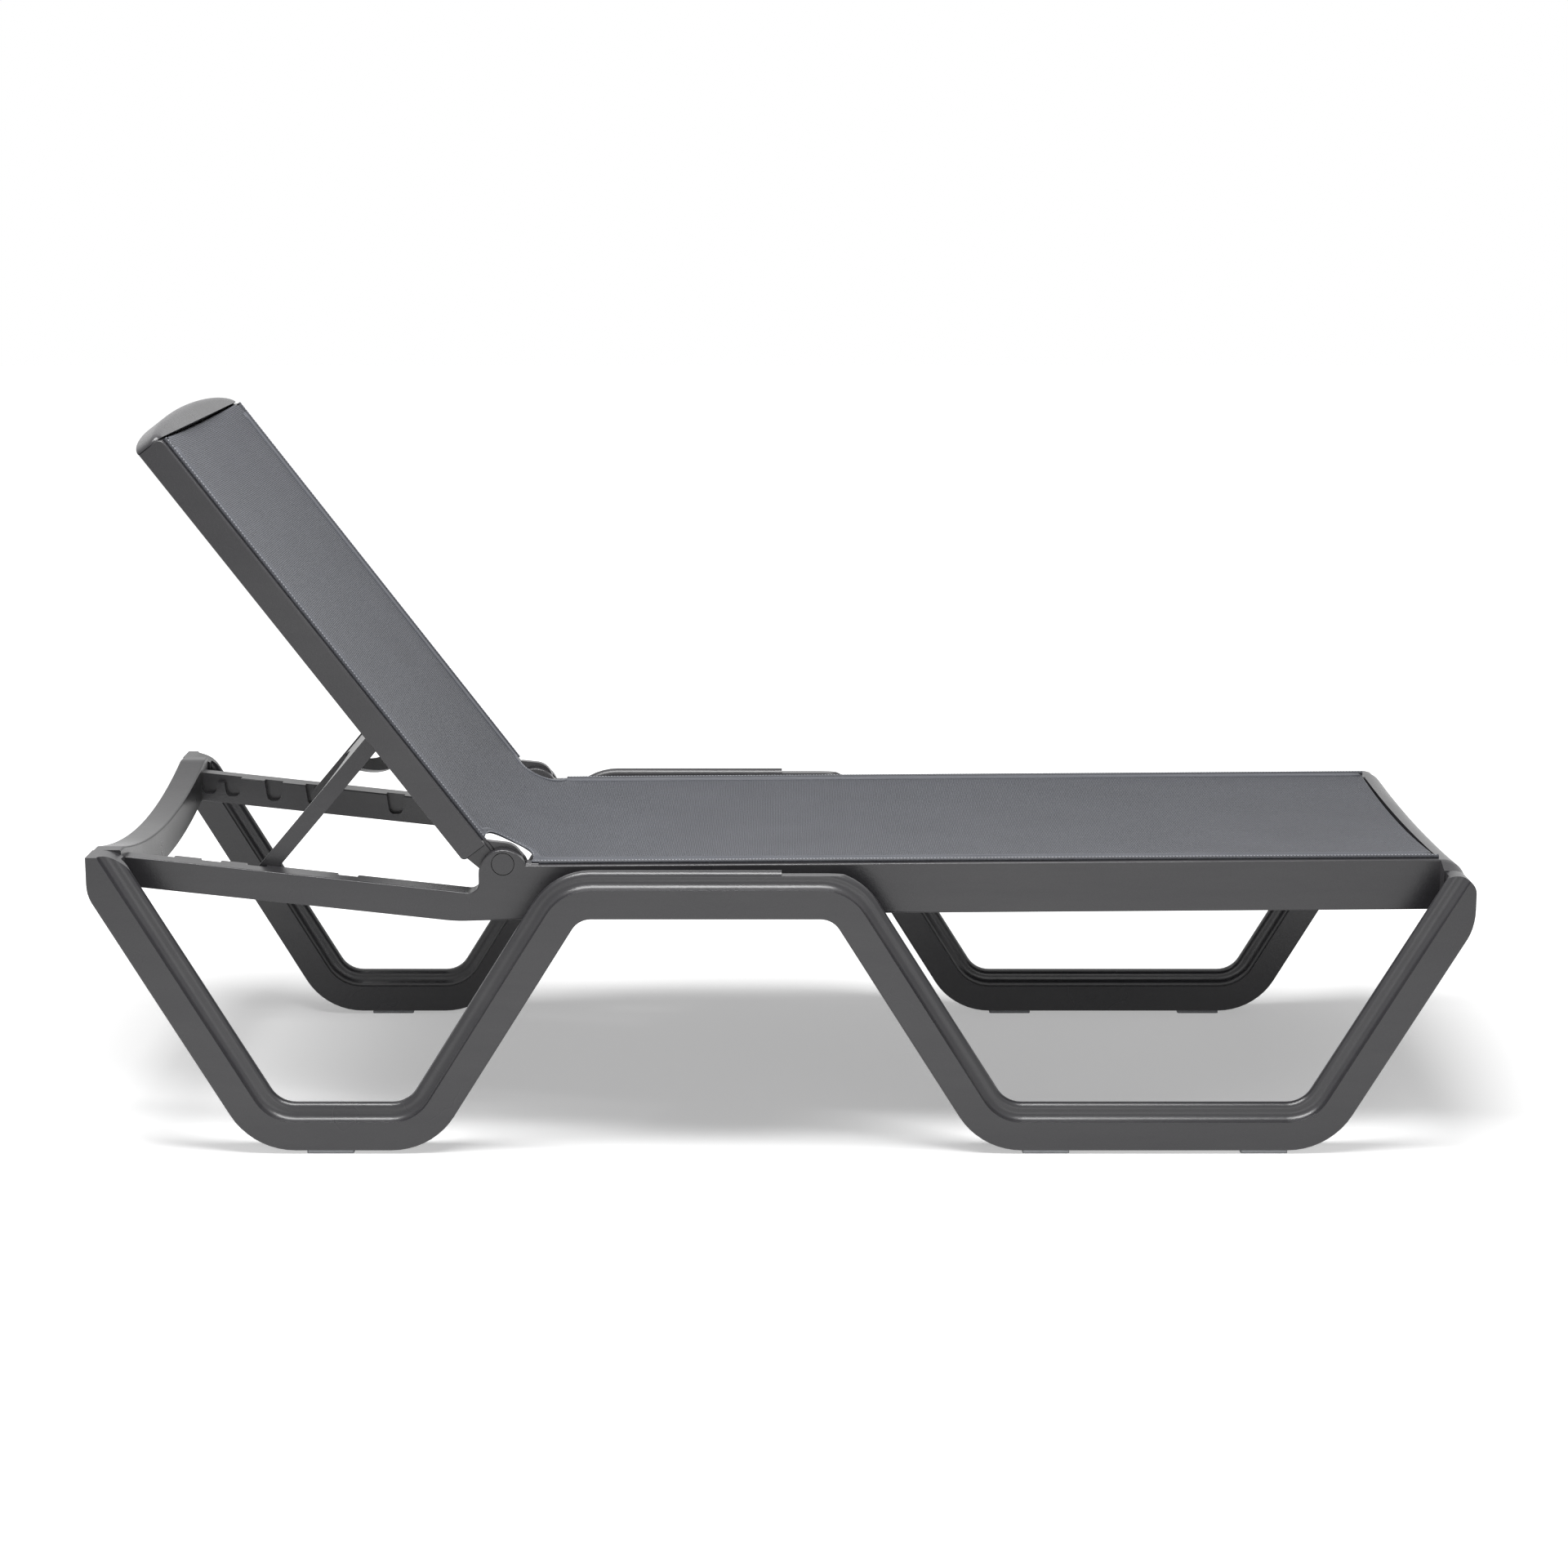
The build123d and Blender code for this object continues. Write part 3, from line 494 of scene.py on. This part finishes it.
def bead_material(name, sling, way, middle):
    """The woven edge pulled over its round cord, with the seam's pale stitches along its top."""
    material, tree, shader = new_material(name)
    place = object_place(tree)
    thread = noise(tree, stretched(tree, place, (520.0, 260.0, 520.0)), 1.0, 1.0)
    ground = ramp(tree, thread, [(0.32, BEAD_DARK), (0.68, BEAD_LIGHT)])
    along = tree.nodes.new("ShaderNodeVectorMath")
    along.operation = "DOT_PRODUCT"
    along.inputs[1].default_value = way
    tree.links.new(place, along.inputs[0])
    wave = turns(tree, along.outputs["Value"], sling.stitch)
    across = math_node(tree, "ABSOLUTE", parted(tree, place)[1])
    off = math_node(tree, "ABSOLUTE", math_node(tree, "SUBTRACT", across, middle))
    near = math_node(tree, "LESS_THAN", off, sling.stitch * STITCH_WIDTH_SHARE)
    shown = math_node(tree, "MULTIPLY", math_node(tree, "GREATER_THAN", wave, 0.1), near)
    result, share, second = mix_node(tree, "MIX", ground)
    tree.links.new(shown, share)
    second.default_value = (*STITCH_COLOUR, 1.0)
    tree.links.new(result, shader.inputs["Base Color"])
    tree.links.new(spread(tree, thread, 0.45, 0.65), shader.inputs["Roughness"])
    raised = bump(tree, shown, 0.0003, 0.7)
    tree.links.new(bump(tree, thread, 0.0002, 0.5, raised), shader.inputs["Normal"])
    return material


def dress(names, material):
    """Give every node whose name holds one of these words the material."""
    for name, node in NODES.items():
        if any(word in name for word in names):
            node.data.materials.clear()
            node.data.materials.append(material)


class LOUNGER_OT_resin(bpy.types.Operator):
    """Give the moulded frame its grained resin"""

    bl_idname = "lounger.resin"
    bl_label = "Resin Frame"

    def execute(self, context):
        material = resin_material(context.scene.lounger_resin)
        others = STEEL_PARTS + GLIDE_PARTS + CLOTH_PARTS
        names = [name for name in NODES if not any(word in name for word in others)]
        dress(names, material)
        return {"FINISHED"}


def rounded_bar(low, high, edges, rounding, segments):
    """A straight bar across the base; edges holds the corners of its section to be rounded."""
    shape = bmesh.new()
    middle = [(a + b) / 2 for a, b in zip(low, high)]
    size = [b - a for a, b in zip(low, high)]
    place = Matrix.Translation(middle) @ Matrix.Diagonal((*size, 1.0))
    bmesh.ops.create_cube(shape, size=1.0, matrix=place)
    chosen = []
    for edge in shape.edges:
        first, second = (vertex.co for vertex in edge.verts)
        corner = (first.x > middle[0], first.z > middle[2])
        if abs(first.y - second.y) > size[1] / 2 and corner in edges:
            chosen.append(edge)
    bmesh.ops.bevel(
        shape, geom=chosen, offset=rounding, offset_type="OFFSET", segments=segments,
        profile=0.5, affect="EDGES", material=-1,
    )
    return shape


def let_down(shape, reach, free, dip, fall, low, high):
    """Cut the bar into short lengths and let it hang between the rails, and fall at its ends."""
    places = [-free + 2 * free * step / BAR_STEPS for step in range(BAR_STEPS + 1)]
    for sign in (-1, 1):
        for step in range(1, BAR_END_STEPS):
            places.append(sign * (free + (reach - free) * step / BAR_END_STEPS))
    for y in places:
        geometry = shape.verts[:] + shape.edges[:] + shape.faces[:]
        bmesh.ops.bisect_plane(shape, geom=geometry, plane_co=(0, y, 0), plane_no=(0, 1, 0))
    for vertex in shape.verts:
        out = abs(vertex.co.y)
        up = (vertex.co.z - low) / (high - low)
        if out < free:
            vertex.co.z -= dip * (1.0 - (out / free) ** 2)
        else:
            vertex.co.z -= fall * up * (out - free) / (reach - free)


def add_rods(shape, rods):
    """Tenons and pegs, on both sides: middle, axis, radius and length of each."""
    for middle, axis, radius, length in rods:
        turn = Vector(axis).to_track_quat("Z", "Y").to_matrix().to_4x4()
        for sign in (-1.0, 1.0):
            place = Matrix.Translation((middle[0], sign * middle[1], middle[2])) @ turn
            bmesh.ops.create_cone(
                shape, cap_ends=True, segments=ROD_SIDES, radius1=radius, radius2=radius,
                depth=length, matrix=place,
            )


def add_crossbar(context, name, shape):
    """Turn a finished bar into the piece that stands for its node."""
    mesh = bpy.data.meshes.new(f"{name}_dressed")
    bmesh.ops.recalc_face_normals(shape, faces=shape.faces)
    for face in shape.faces:
        face.smooth = True
    shape.to_mesh(mesh)
    shape.free()
    mesh.set_sharp_from_angle(angle=BAR_SMOOTH)
    piece = add_piece(context, mesh, NODES[name].data.materials[0])
    shading = piece.modifiers.new("even_shading", "WEIGHTED_NORMAL")
    shading.keep_sharp = True
    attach(piece, "base")
    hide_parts(name)


class LOUNGER_OT_crossbars(bpy.types.Operator):
    """Shape the dished crossbars of the head and foot ends"""

    bl_idname = "lounger.crossbars"
    bl_label = "End Crossbars"

    def execute(self, context):
        bars = context.scene.lounger_crossbars
        free = -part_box("right_side_rail")[0][1]
        reach = bars.reach
        tenon = (0.0, 1.0, 0.0)
        peg = (1.0, 0.0, 0.0)

        start, top = CAD_BOX[0][0], NODE_TOPS["head_crossbar"]
        inner = start + bars.head_width
        low = (start, -reach, top - bars.head_height)
        high = (inner, reach, top)
        all_edges = ((False, False), (False, True), (True, False), (True, True))
        shape = rounded_bar(low, high, all_edges, bars.head_round, HEAD_ROUND_STEPS)
        let_down(shape, reach, free, bars.head_dip, 0.0, low[2], high[2])
        tenon_place = (start + HEAD_TENON_IN, reach + TENON_OUT, top - HEAD_TENON_DROP)
        peg_place = (inner + PEG_OUT, free - PEG_IN, top - HEAD_PEG_DROP)
        add_rods(shape, [
            (tenon_place, tenon, TENON_RADIUS, TENON_LENGTH),
            (peg_place, peg, PEG_RADIUS, PEG_LENGTH),
        ])
        add_crossbar(context, "head_crossbar", shape)

        end, top = CAD_BOX[1][0], NODE_TOPS["foot_crossbar"]
        inner = end - bars.foot_width
        base = top - bars.foot_height
        low = (inner, -reach, base)
        high = (end, reach, top)
        shape = rounded_bar(low, high, ((True, True),), bars.foot_nose, FOOT_NOSE_STEPS)
        let_down(shape, reach, free, bars.foot_dip, bars.foot_fall, low[2], high[2])
        tenon_place = (end - FOOT_TENON_IN, reach + TENON_OUT, base + FOOT_TENON_LIFT)
        peg_place = (inner - PEG_OUT, free - PEG_IN, base + FOOT_PEG_LIFT)
        add_rods(shape, [
            (tenon_place, tenon, TENON_RADIUS, TENON_LENGTH),
            (peg_place, peg, PEG_RADIUS, PEG_LENGTH),
        ])
        add_crossbar(context, "foot_crossbar", shape)
        return {"FINISHED"}


class LOUNGER_OT_fittings(bpy.types.Operator):
    """Give the glides, the beads and the steel fittings their finishes"""

    bl_idname = "lounger.fittings"
    bl_label = "Glides, Beads and Steel"

    def execute(self, context):
        dress(GLIDE_PARTS, glide_material())
        dress(STEEL_PARTS, steel_material())
        sling = context.scene.lounger_sling
        for part in ("seat_keder", "back_keder"):
            low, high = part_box(f"right_{part}")
            start, end = bead_line(f"right_{part}", 0)
            way = (end - start).normalized()
            middle = -(low[1] + high[1]) / 2
            dress((part,), bead_material(part, sling, (way.x, 0.0, way.y), middle))
        return {"FINISHED"}


def box_middle(points):
    """The middle of the box round some points."""
    return Vector([(min(line) + max(line)) / 2 for line in zip(*points)])


def bead_line(name, axis):
    """The two ends of a straight bead's middle line, in the side view."""
    places = (tuple(vertex.co) for vertex in NODES[name].data.vertices)
    points = sorted(places, key=lambda place: place[axis])
    half = len(points) // 2
    ends = (box_middle(points[:half]), box_middle(points[half:]))
    return [Vector((end.x, end.z)) for end in ends]


def superellipse(share, power=2.3):
    """Height over the middle line of a rounded arch, from 1 in its middle to 0 at its ends."""
    return (1.0 - min(abs(share), 1.0) ** power) ** (1.0 / power)


class SheetShape:
    """Where the stretched sheet runs: flat over the rails, bent at the hinge, ends turned down.

    A place on it is its run along the sheet from the hinge, positive over the seat and
    negative up the backrest, and its distance across from the middle.
    """

    TURN_DOWN = 0.003
    FLAP = 0.020
    FLAP_ROOM = 0.0015
    BITE_SET = -0.001

    def __init__(self, settings):
        self.settings = settings
        seat_near, seat_far = bead_line("right_seat_keder", 0)
        back_near, back_far = bead_line("right_back_keder", 2)
        self.seat_way = (seat_far - seat_near).normalized()
        self.back_way = (back_far - back_near).normalized()
        self.seat_up = Vector((-self.seat_way.y, self.seat_way.x))
        self.back_up = Vector((self.back_way.y, -self.back_way.x))
        reach = (back_near - seat_near).dot(self.back_up) / self.seat_way.dot(self.back_up)
        self.crossing = seat_near + self.seat_way * reach
        self.turn = self.seat_up.angle(self.back_up)
        seat_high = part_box("seat_sling")[1]
        self.half_width = seat_high[1]
        self.free_half = -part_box("right_side_rail")[1][1]
        self.seat_end = (seat_high[0] - self.crossing.x) / self.seat_way.x
        self.back_end = (back_far - self.crossing).length

    def lies_flat(self, run):
        """Whether a run lies before both turned-down ends."""
        return -self.back_end < run - self.TURN_DOWN and run + self.TURN_DOWN < self.seat_end

    def tail(self):
        """Length of an end past the start of its turn down."""
        return self.TURN_DOWN * math.pi / 2 + self.FLAP - self.TURN_DOWN

    def turned_down(self, past, way, up, end):
        """A place past the start of an end's turn down, and the sheet's normal there."""
        angle = min(past / self.TURN_DOWN, math.pi / 2)
        forward = end - self.TURN_DOWN + self.TURN_DOWN * math.sin(angle)
        straight = max(0.0, past - self.TURN_DOWN * math.pi / 2)
        down = self.TURN_DOWN * (1.0 - math.cos(angle)) + straight
        normal = up * math.cos(angle) + way * math.sin(angle)
        return self.crossing + way * forward - up * down, normal, up

    def side(self, run, across):
        """In the side view: the place, the normal, and the way in which the middle hangs."""
        inner = self.settings.bend
        share = min(abs(across) / self.half_width, 1.0)
        radius = inner + (self.settings.edge_bend - inner) * share ** EDGE_BEND_POWER
        tangent = radius * math.tan(self.turn / 2)
        seat_turn = self.seat_end - self.TURN_DOWN
        back_turn = self.back_end - self.TURN_DOWN
        if run > seat_turn:
            return self.turned_down(run - seat_turn, self.seat_way, self.seat_up, self.seat_end)
        if run < -back_turn:
            return self.turned_down(-run - back_turn, self.back_way, self.back_up, self.back_end)
        if run > tangent:
            return self.crossing + self.seat_way * run, self.seat_up, self.seat_up
        if run < -tangent:
            return self.crossing - self.back_way * run, self.back_up, self.back_up
        angle = self.turn * (tangent - run) / (2 * tangent)
        normal = self.seat_up * math.cos(angle) + self.seat_way * math.sin(angle)
        centre = self.crossing + self.seat_way * tangent + self.seat_up * radius
        return centre - normal * radius, normal, normal

    def point(self, run, across, lift=0.0):
        """A place on the sheet in space, lifted off it along its normal."""
        place, normal, hang = self.side(run, across)
        share = min(abs(across) / self.free_half, 1.0)
        place = place - hang * self.settings.dip * (1.0 - share ** 2) + normal * lift
        return Vector((place.x, across, place.y))

    def bite(self, run, extra=0.0):
        """How far the edge stands in at the cut-outs, or a line that far inside it."""
        half = self.settings.bite_length / 2 + extra
        share = (run - self.BITE_SET) / half
        return (self.settings.bite_depth + extra) * superellipse(share) if abs(share) < 1.0 else 0.0

    def edge(self, run):
        """Half the sheet's width at a run."""
        past = max(run - (self.seat_end - self.TURN_DOWN), -run - (self.back_end - self.TURN_DOWN))
        if past > self.TURN_DOWN / 4:
            return self.free_half - self.FLAP_ROOM
        return self.half_width - self.bite(run)

    def hem_line(self, run):
        """Where the doubled edge ends and its stitches run."""
        inner = self.half_width - self.settings.side_hem
        return min(inner, self.half_width - self.bite(run, self.settings.hem))

    def hem_ridge(self, share):
        """How high the folded edge stands over the sheet; share is 0 at the hem's inner line."""
        return RIDGE_HEIGHT * math.exp(-((share - RIDGE_PLACE) / RIDGE_SPREAD) ** 2)

    def runs(self):
        """Places along the sheet, closest together at the cut-outs and the ends."""
        bite = self.settings.bite_length / 2
        hem = bite + self.settings.hem
        seat_turn = self.seat_end - self.TURN_DOWN
        back_turn = self.back_end - self.TURN_DOWN
        quarter = self.TURN_DOWN * math.pi / 2
        stretches = [
            (-back_turn - self.tail(), -back_turn - quarter, 4),
            (-back_turn - quarter, -back_turn, 6),
            (-back_turn, -FINE_REACH, 44),
            (-FINE_REACH, self.BITE_SET - hem, 22),
            (self.BITE_SET - hem, self.BITE_SET - bite, 5),
            (self.BITE_SET - bite, self.BITE_SET + bite, BITE_STEPS),
            (self.BITE_SET + bite, self.BITE_SET + hem, 5),
            (self.BITE_SET + hem, FINE_REACH, 22),
            (FINE_REACH, seat_turn, 84),
            (seat_turn, seat_turn + quarter, 6),
            (seat_turn + quarter, seat_turn + self.tail(), 4),
        ]
        places = [stretches[0][0]]
        for start, stop, steps in stretches:
            bowed = steps == BITE_STEPS
            for step in range(1, steps + 1):
                share = step / steps
                if bowed:
                    share = 0.5 - math.cos(math.pi * share) / 2
                places.append(start + (stop - start) * share)
        return places


def band_mesh(name, runs, lines, steps, place, ridge=None):
    """A woven band between two lines along the sheet, with its flat cut as its UV map."""
    mesh = bpy.data.meshes.new(name)
    shape = bmesh.new()
    bmesh.ops.create_grid(shape, x_segments=len(runs) - 1, y_segments=steps, size=0.5)
    flat = {}
    for vertex in shape.verts:
        run = runs[round((vertex.co.x + 0.5) * (len(runs) - 1))]
        low, high = lines(run)
        share = vertex.co.y + 0.5
        across = low + (high - low) * share
        flat[vertex] = (run, across)
        vertex.co = place(run, across, ridge(share) if ridge else 0.0)
    layer = shape.loops.layers.uv.new(FLAT_CUT)
    for face in shape.faces:
        for loop in face.loops:
            loop[layer].uv = flat[loop.vert]
        face.smooth = True
    bmesh.ops.recalc_face_normals(shape, faces=shape.faces)
    shape.to_mesh(mesh)
    shape.free()
    return mesh


def add_piece(context, mesh, material):
    """Put a mesh into the scene as a piece of its own."""
    piece = bpy.data.objects.new(mesh.name, mesh)
    context.collection.objects.link(piece)
    mesh.materials.append(material)
    return piece


def thicken(piece, thickness):
    """Give a sheet its thickness, half of it on each side."""
    modifier = piece.modifiers.new("thickness", "SOLIDIFY")
    modifier.thickness = thickness
    modifier.offset = 0.0


def across_hinge(piece):
    """Bake the piece's placing into its mesh; it already follows the seat, then the backrest,
    turning between them, as it was built.
    """
    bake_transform(piece)


def add_stitches(context, shape, side, material):
    """A row of lockstitches round a cut-out, from the end of one bead to the next."""
    settings = shape.settings
    mesh = bpy.data.meshes.new(f"{side}_hem_stitches")
    rows = bmesh.new()
    sign = -1.0 if side == "right" else 1.0
    lift = settings.hem_thickness / 2 + STITCH_LIFT
    reach = settings.bite_length / 2 + settings.hem

    def seam(run):
        return shape.point(run, sign * (shape.edge(run) - STITCH_INSET), lift)

    run = shape.BITE_SET - reach
    last = seam(run)
    travel = 0.0
    while run < shape.BITE_SET + reach:
        run += STITCH_WALK
        here = seam(run)
        travel += (here - last).length
        if travel >= settings.stitch:
            way = here - last
            turn = way.to_track_quat("X", "Z").to_matrix().to_4x4()
            half_length = settings.stitch * STITCH_LENGTH_SHARE
            size = (half_length, STITCH_HALF_WIDTH, STITCH_HALF_HEIGHT, 1.0)
            place = Matrix.Translation(here) @ turn @ Matrix.Diagonal(size)
            bmesh.ops.create_icosphere(rows, subdivisions=1, radius=1.0, matrix=place)
            travel = 0.0
        last = here
    for face in rows.faces:
        face.smooth = True
    rows.to_mesh(mesh)
    rows.free()
    return add_piece(context, mesh, material)


class LOUNGER_OT_sling(bpy.types.Operator):
    """Stretch the woven sheet over the rails, with its hems, cut-outs and stitches"""

    bl_idname = "lounger.sling"
    bl_label = "Woven Sling"

    def execute(self, context):
        settings = context.scene.lounger_sling
        shape = SheetShape(settings)
        runs = shape.runs()

        def whole(run):
            return -shape.edge(run), shape.edge(run)

        sheet_mesh = band_mesh("sling", runs, whole, SHEET_STEPS, shape.point)
        sling = add_piece(context, sheet_mesh, cloth_material(settings))
        thicken(sling, settings.thickness)
        across_hinge(sling)
        hem_cloth = hem_material(settings)
        thread = thread_material()
        extras = []
        inner_runs = [run for run in runs if shape.lies_flat(run)]
        for side, sign in (("right", -1.0), ("left", 1.0)):
            def lines(run):
                return sign * shape.hem_line(run), sign * shape.edge(run)

            hem_mesh = band_mesh(
                f"{side}_hem", inner_runs, lines, HEM_STEPS, shape.point, shape.hem_ridge,
            )
            hem = add_piece(context, hem_mesh, hem_cloth)
            thicken(hem, settings.hem_thickness)
            stitches = add_stitches(context, shape, side, thread)
            extras += [hem, stitches]
        for extra in extras:
            across_hinge(extra)
        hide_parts("seat_sling", "back_sling")
        return {"FINISHED"}


class LOUNGER_OT_stage(bpy.types.Operator):
    """Set up the camera, the soft lamps and the pale floor"""

    bl_idname = "lounger.stage"
    bl_label = "Studio"

    def execute(self, context):
        settings = context.scene.lounger_stage
        add_camera(context, settings)
        add_lamps(context)
        add_floor(context)
        add_world(context)
        context.scene.view_settings.view_transform = "Standard"
        return {"FINISHED"}


def add_camera(context, settings):
    """The camera, at the photograph's viewing angle."""
    lens = bpy.data.cameras.new("camera")
    lens.lens = settings.lens
    lens.sensor_width = SENSOR_WIDTH
    lens.clip_end = 60.0
    camera = bpy.data.objects.new("camera", lens)
    camera.location = (CAMERA_X, -settings.distance, settings.height)
    camera.rotation_euler = (math.pi / 2 - settings.tilt, 0.0, 0.0)
    context.collection.objects.link(camera)
    context.scene.camera = camera


def add_lamps(context):
    """Two large soft boxes: one overhead, and a weak one low in front."""
    for name, place, aim, size, power in LAMPS:
        lamp = bpy.data.lights.new(name, "AREA")
        lamp.shape = "RECTANGLE"
        lamp.size, lamp.size_y = size
        lamp.energy = power
        box = bpy.data.objects.new(name, lamp)
        box.location = place
        box.rotation_euler = (Vector(aim) - Vector(place)).to_track_quat("-Z", "Y").to_euler()
        context.collection.objects.link(box)


def seen_as_background(tree):
    """1 for rays that should find the plain backdrop: the camera's, and in glass and metal."""
    path = tree.nodes.new("ShaderNodeLightPath")
    seen = math_node(tree, "MAXIMUM", path.outputs["Is Camera Ray"], path.outputs["Is Glossy Ray"])
    return math_node(tree, "MAXIMUM", seen, path.outputs["Is Transmission Ray"])


def add_floor(context):
    """Pale paper that takes the shadow; its glow for the camera and reflections is weaker near the
    lounger, a painted shadow round it, and rises to the white backdrop further out.
    """
    mesh = bpy.data.meshes.new("studio_floor")
    shape = bmesh.new()
    bmesh.ops.create_grid(shape, x_segments=2, y_segments=2, size=FLOOR_HALF)
    shape.to_mesh(mesh)
    shape.free()
    floor = bpy.data.objects.new("studio_floor", mesh)
    context.collection.objects.link(floor)
    material, tree, shader = new_material("studio_paper")
    place = object_place(tree)
    tone = ramp(tree, noise(tree, place, 3.0), [(0.0, FLOOR_GREY), (1.0, FLOOR_GREY_HIGH)])
    tree.links.new(tone, shader.inputs["Base Color"])
    shader.inputs["Roughness"].default_value = 0.9
    shader.inputs["Specular IOR Level"].default_value = 0.1
    shader.inputs["Emission Color"].default_value = (1.0, 1.0, 1.0, 1.0)
    # The floor's glow rises with distance from the lounger; the dimmer glow near it is a painted
    # shadow round the lounger.
    length = tree.nodes.new("ShaderNodeVectorMath")
    length.operation = "LENGTH"
    around = stretched(tree, place, (0.62, 1.0, 1.0), (0.0, -0.2, 0.0))
    tree.links.new(around, length.inputs[0])
    glow_with_painted_shadow = spread(tree, length.outputs["Value"], PAINTED_SHADOW_GLOW, 1.0)
    glow_with_painted_shadow.node.interpolation_type = "SMOOTHSTEP"
    glow_with_painted_shadow.node.inputs["From Min"].default_value = PAINTED_SHADOW_REACH
    glow_with_painted_shadow.node.inputs["From Max"].default_value = PAINTED_SHADOW_FADE_END
    lift = math_node(tree, "MULTIPLY", seen_as_background(tree), glow_with_painted_shadow)
    tree.links.new(lift, shader.inputs["Emission Strength"])
    mesh.materials.append(material)


def add_world(context):
    """An even white backdrop that gives only a little light."""
    world = bpy.data.worlds.new("studio")
    world.use_nodes = True
    tree = world.node_tree
    ground = tree.nodes["Background"]
    ground.inputs["Color"].default_value = (1.0, 1.0, 1.0, 1.0)
    strength = spread(tree, seen_as_background(tree), WORLD_LIGHT, 1.0)
    tree.links.new(strength, ground.inputs["Strength"])
    context.scene.world = world


class LOUNGER_PT_panel(bpy.types.Panel):
    """The lounger's finishing steps"""

    bl_label = "Sun Lounger"
    bl_idname = "LOUNGER_PT_panel"
    bl_space_type = "VIEW_3D"
    bl_region_type = "UI"
    bl_category = "Lounger"

    def draw(self, context):
        layout = self.layout
        scene = context.scene
        groups = (
            scene.lounger_resin, scene.lounger_crossbars, scene.lounger_sling, scene.lounger_stage,
        )
        for group in groups:
            box = layout.box()
            for name in group.__annotations__:
                box.prop(group, name)
        for step in STEPS:
            layout.operator(step.bl_idname)


STEPS = (
    LOUNGER_OT_resin, LOUNGER_OT_crossbars, LOUNGER_OT_fittings, LOUNGER_OT_sling,
    LOUNGER_OT_stage,
)
CLASSES = (
    LoungerResin, LoungerCrossbars, LoungerSling, LoungerStage, *STEPS, LOUNGER_PT_panel,
)


def register():
    for cls in CLASSES:
        bpy.utils.register_class(cls)
    bpy.types.Scene.lounger_resin = PointerProperty(type=LoungerResin)
    bpy.types.Scene.lounger_crossbars = PointerProperty(type=LoungerCrossbars)
    bpy.types.Scene.lounger_sling = PointerProperty(type=LoungerSling)
    bpy.types.Scene.lounger_stage = PointerProperty(type=LoungerStage)


def unregister():
    del bpy.types.Scene.lounger_resin
    del bpy.types.Scene.lounger_crossbars
    del bpy.types.Scene.lounger_sling
    del bpy.types.Scene.lounger_stage
    for cls in reversed(CLASSES):
        bpy.utils.unregister_class(cls)


def main():
    """Run every step in order."""
    register()
    bpy.ops.lounger.resin()
    bpy.ops.lounger.crossbars()
    bpy.ops.lounger.fittings()
    bpy.ops.lounger.sling()
    bpy.ops.lounger.stage()


if __name__ == "__main__":
    main()
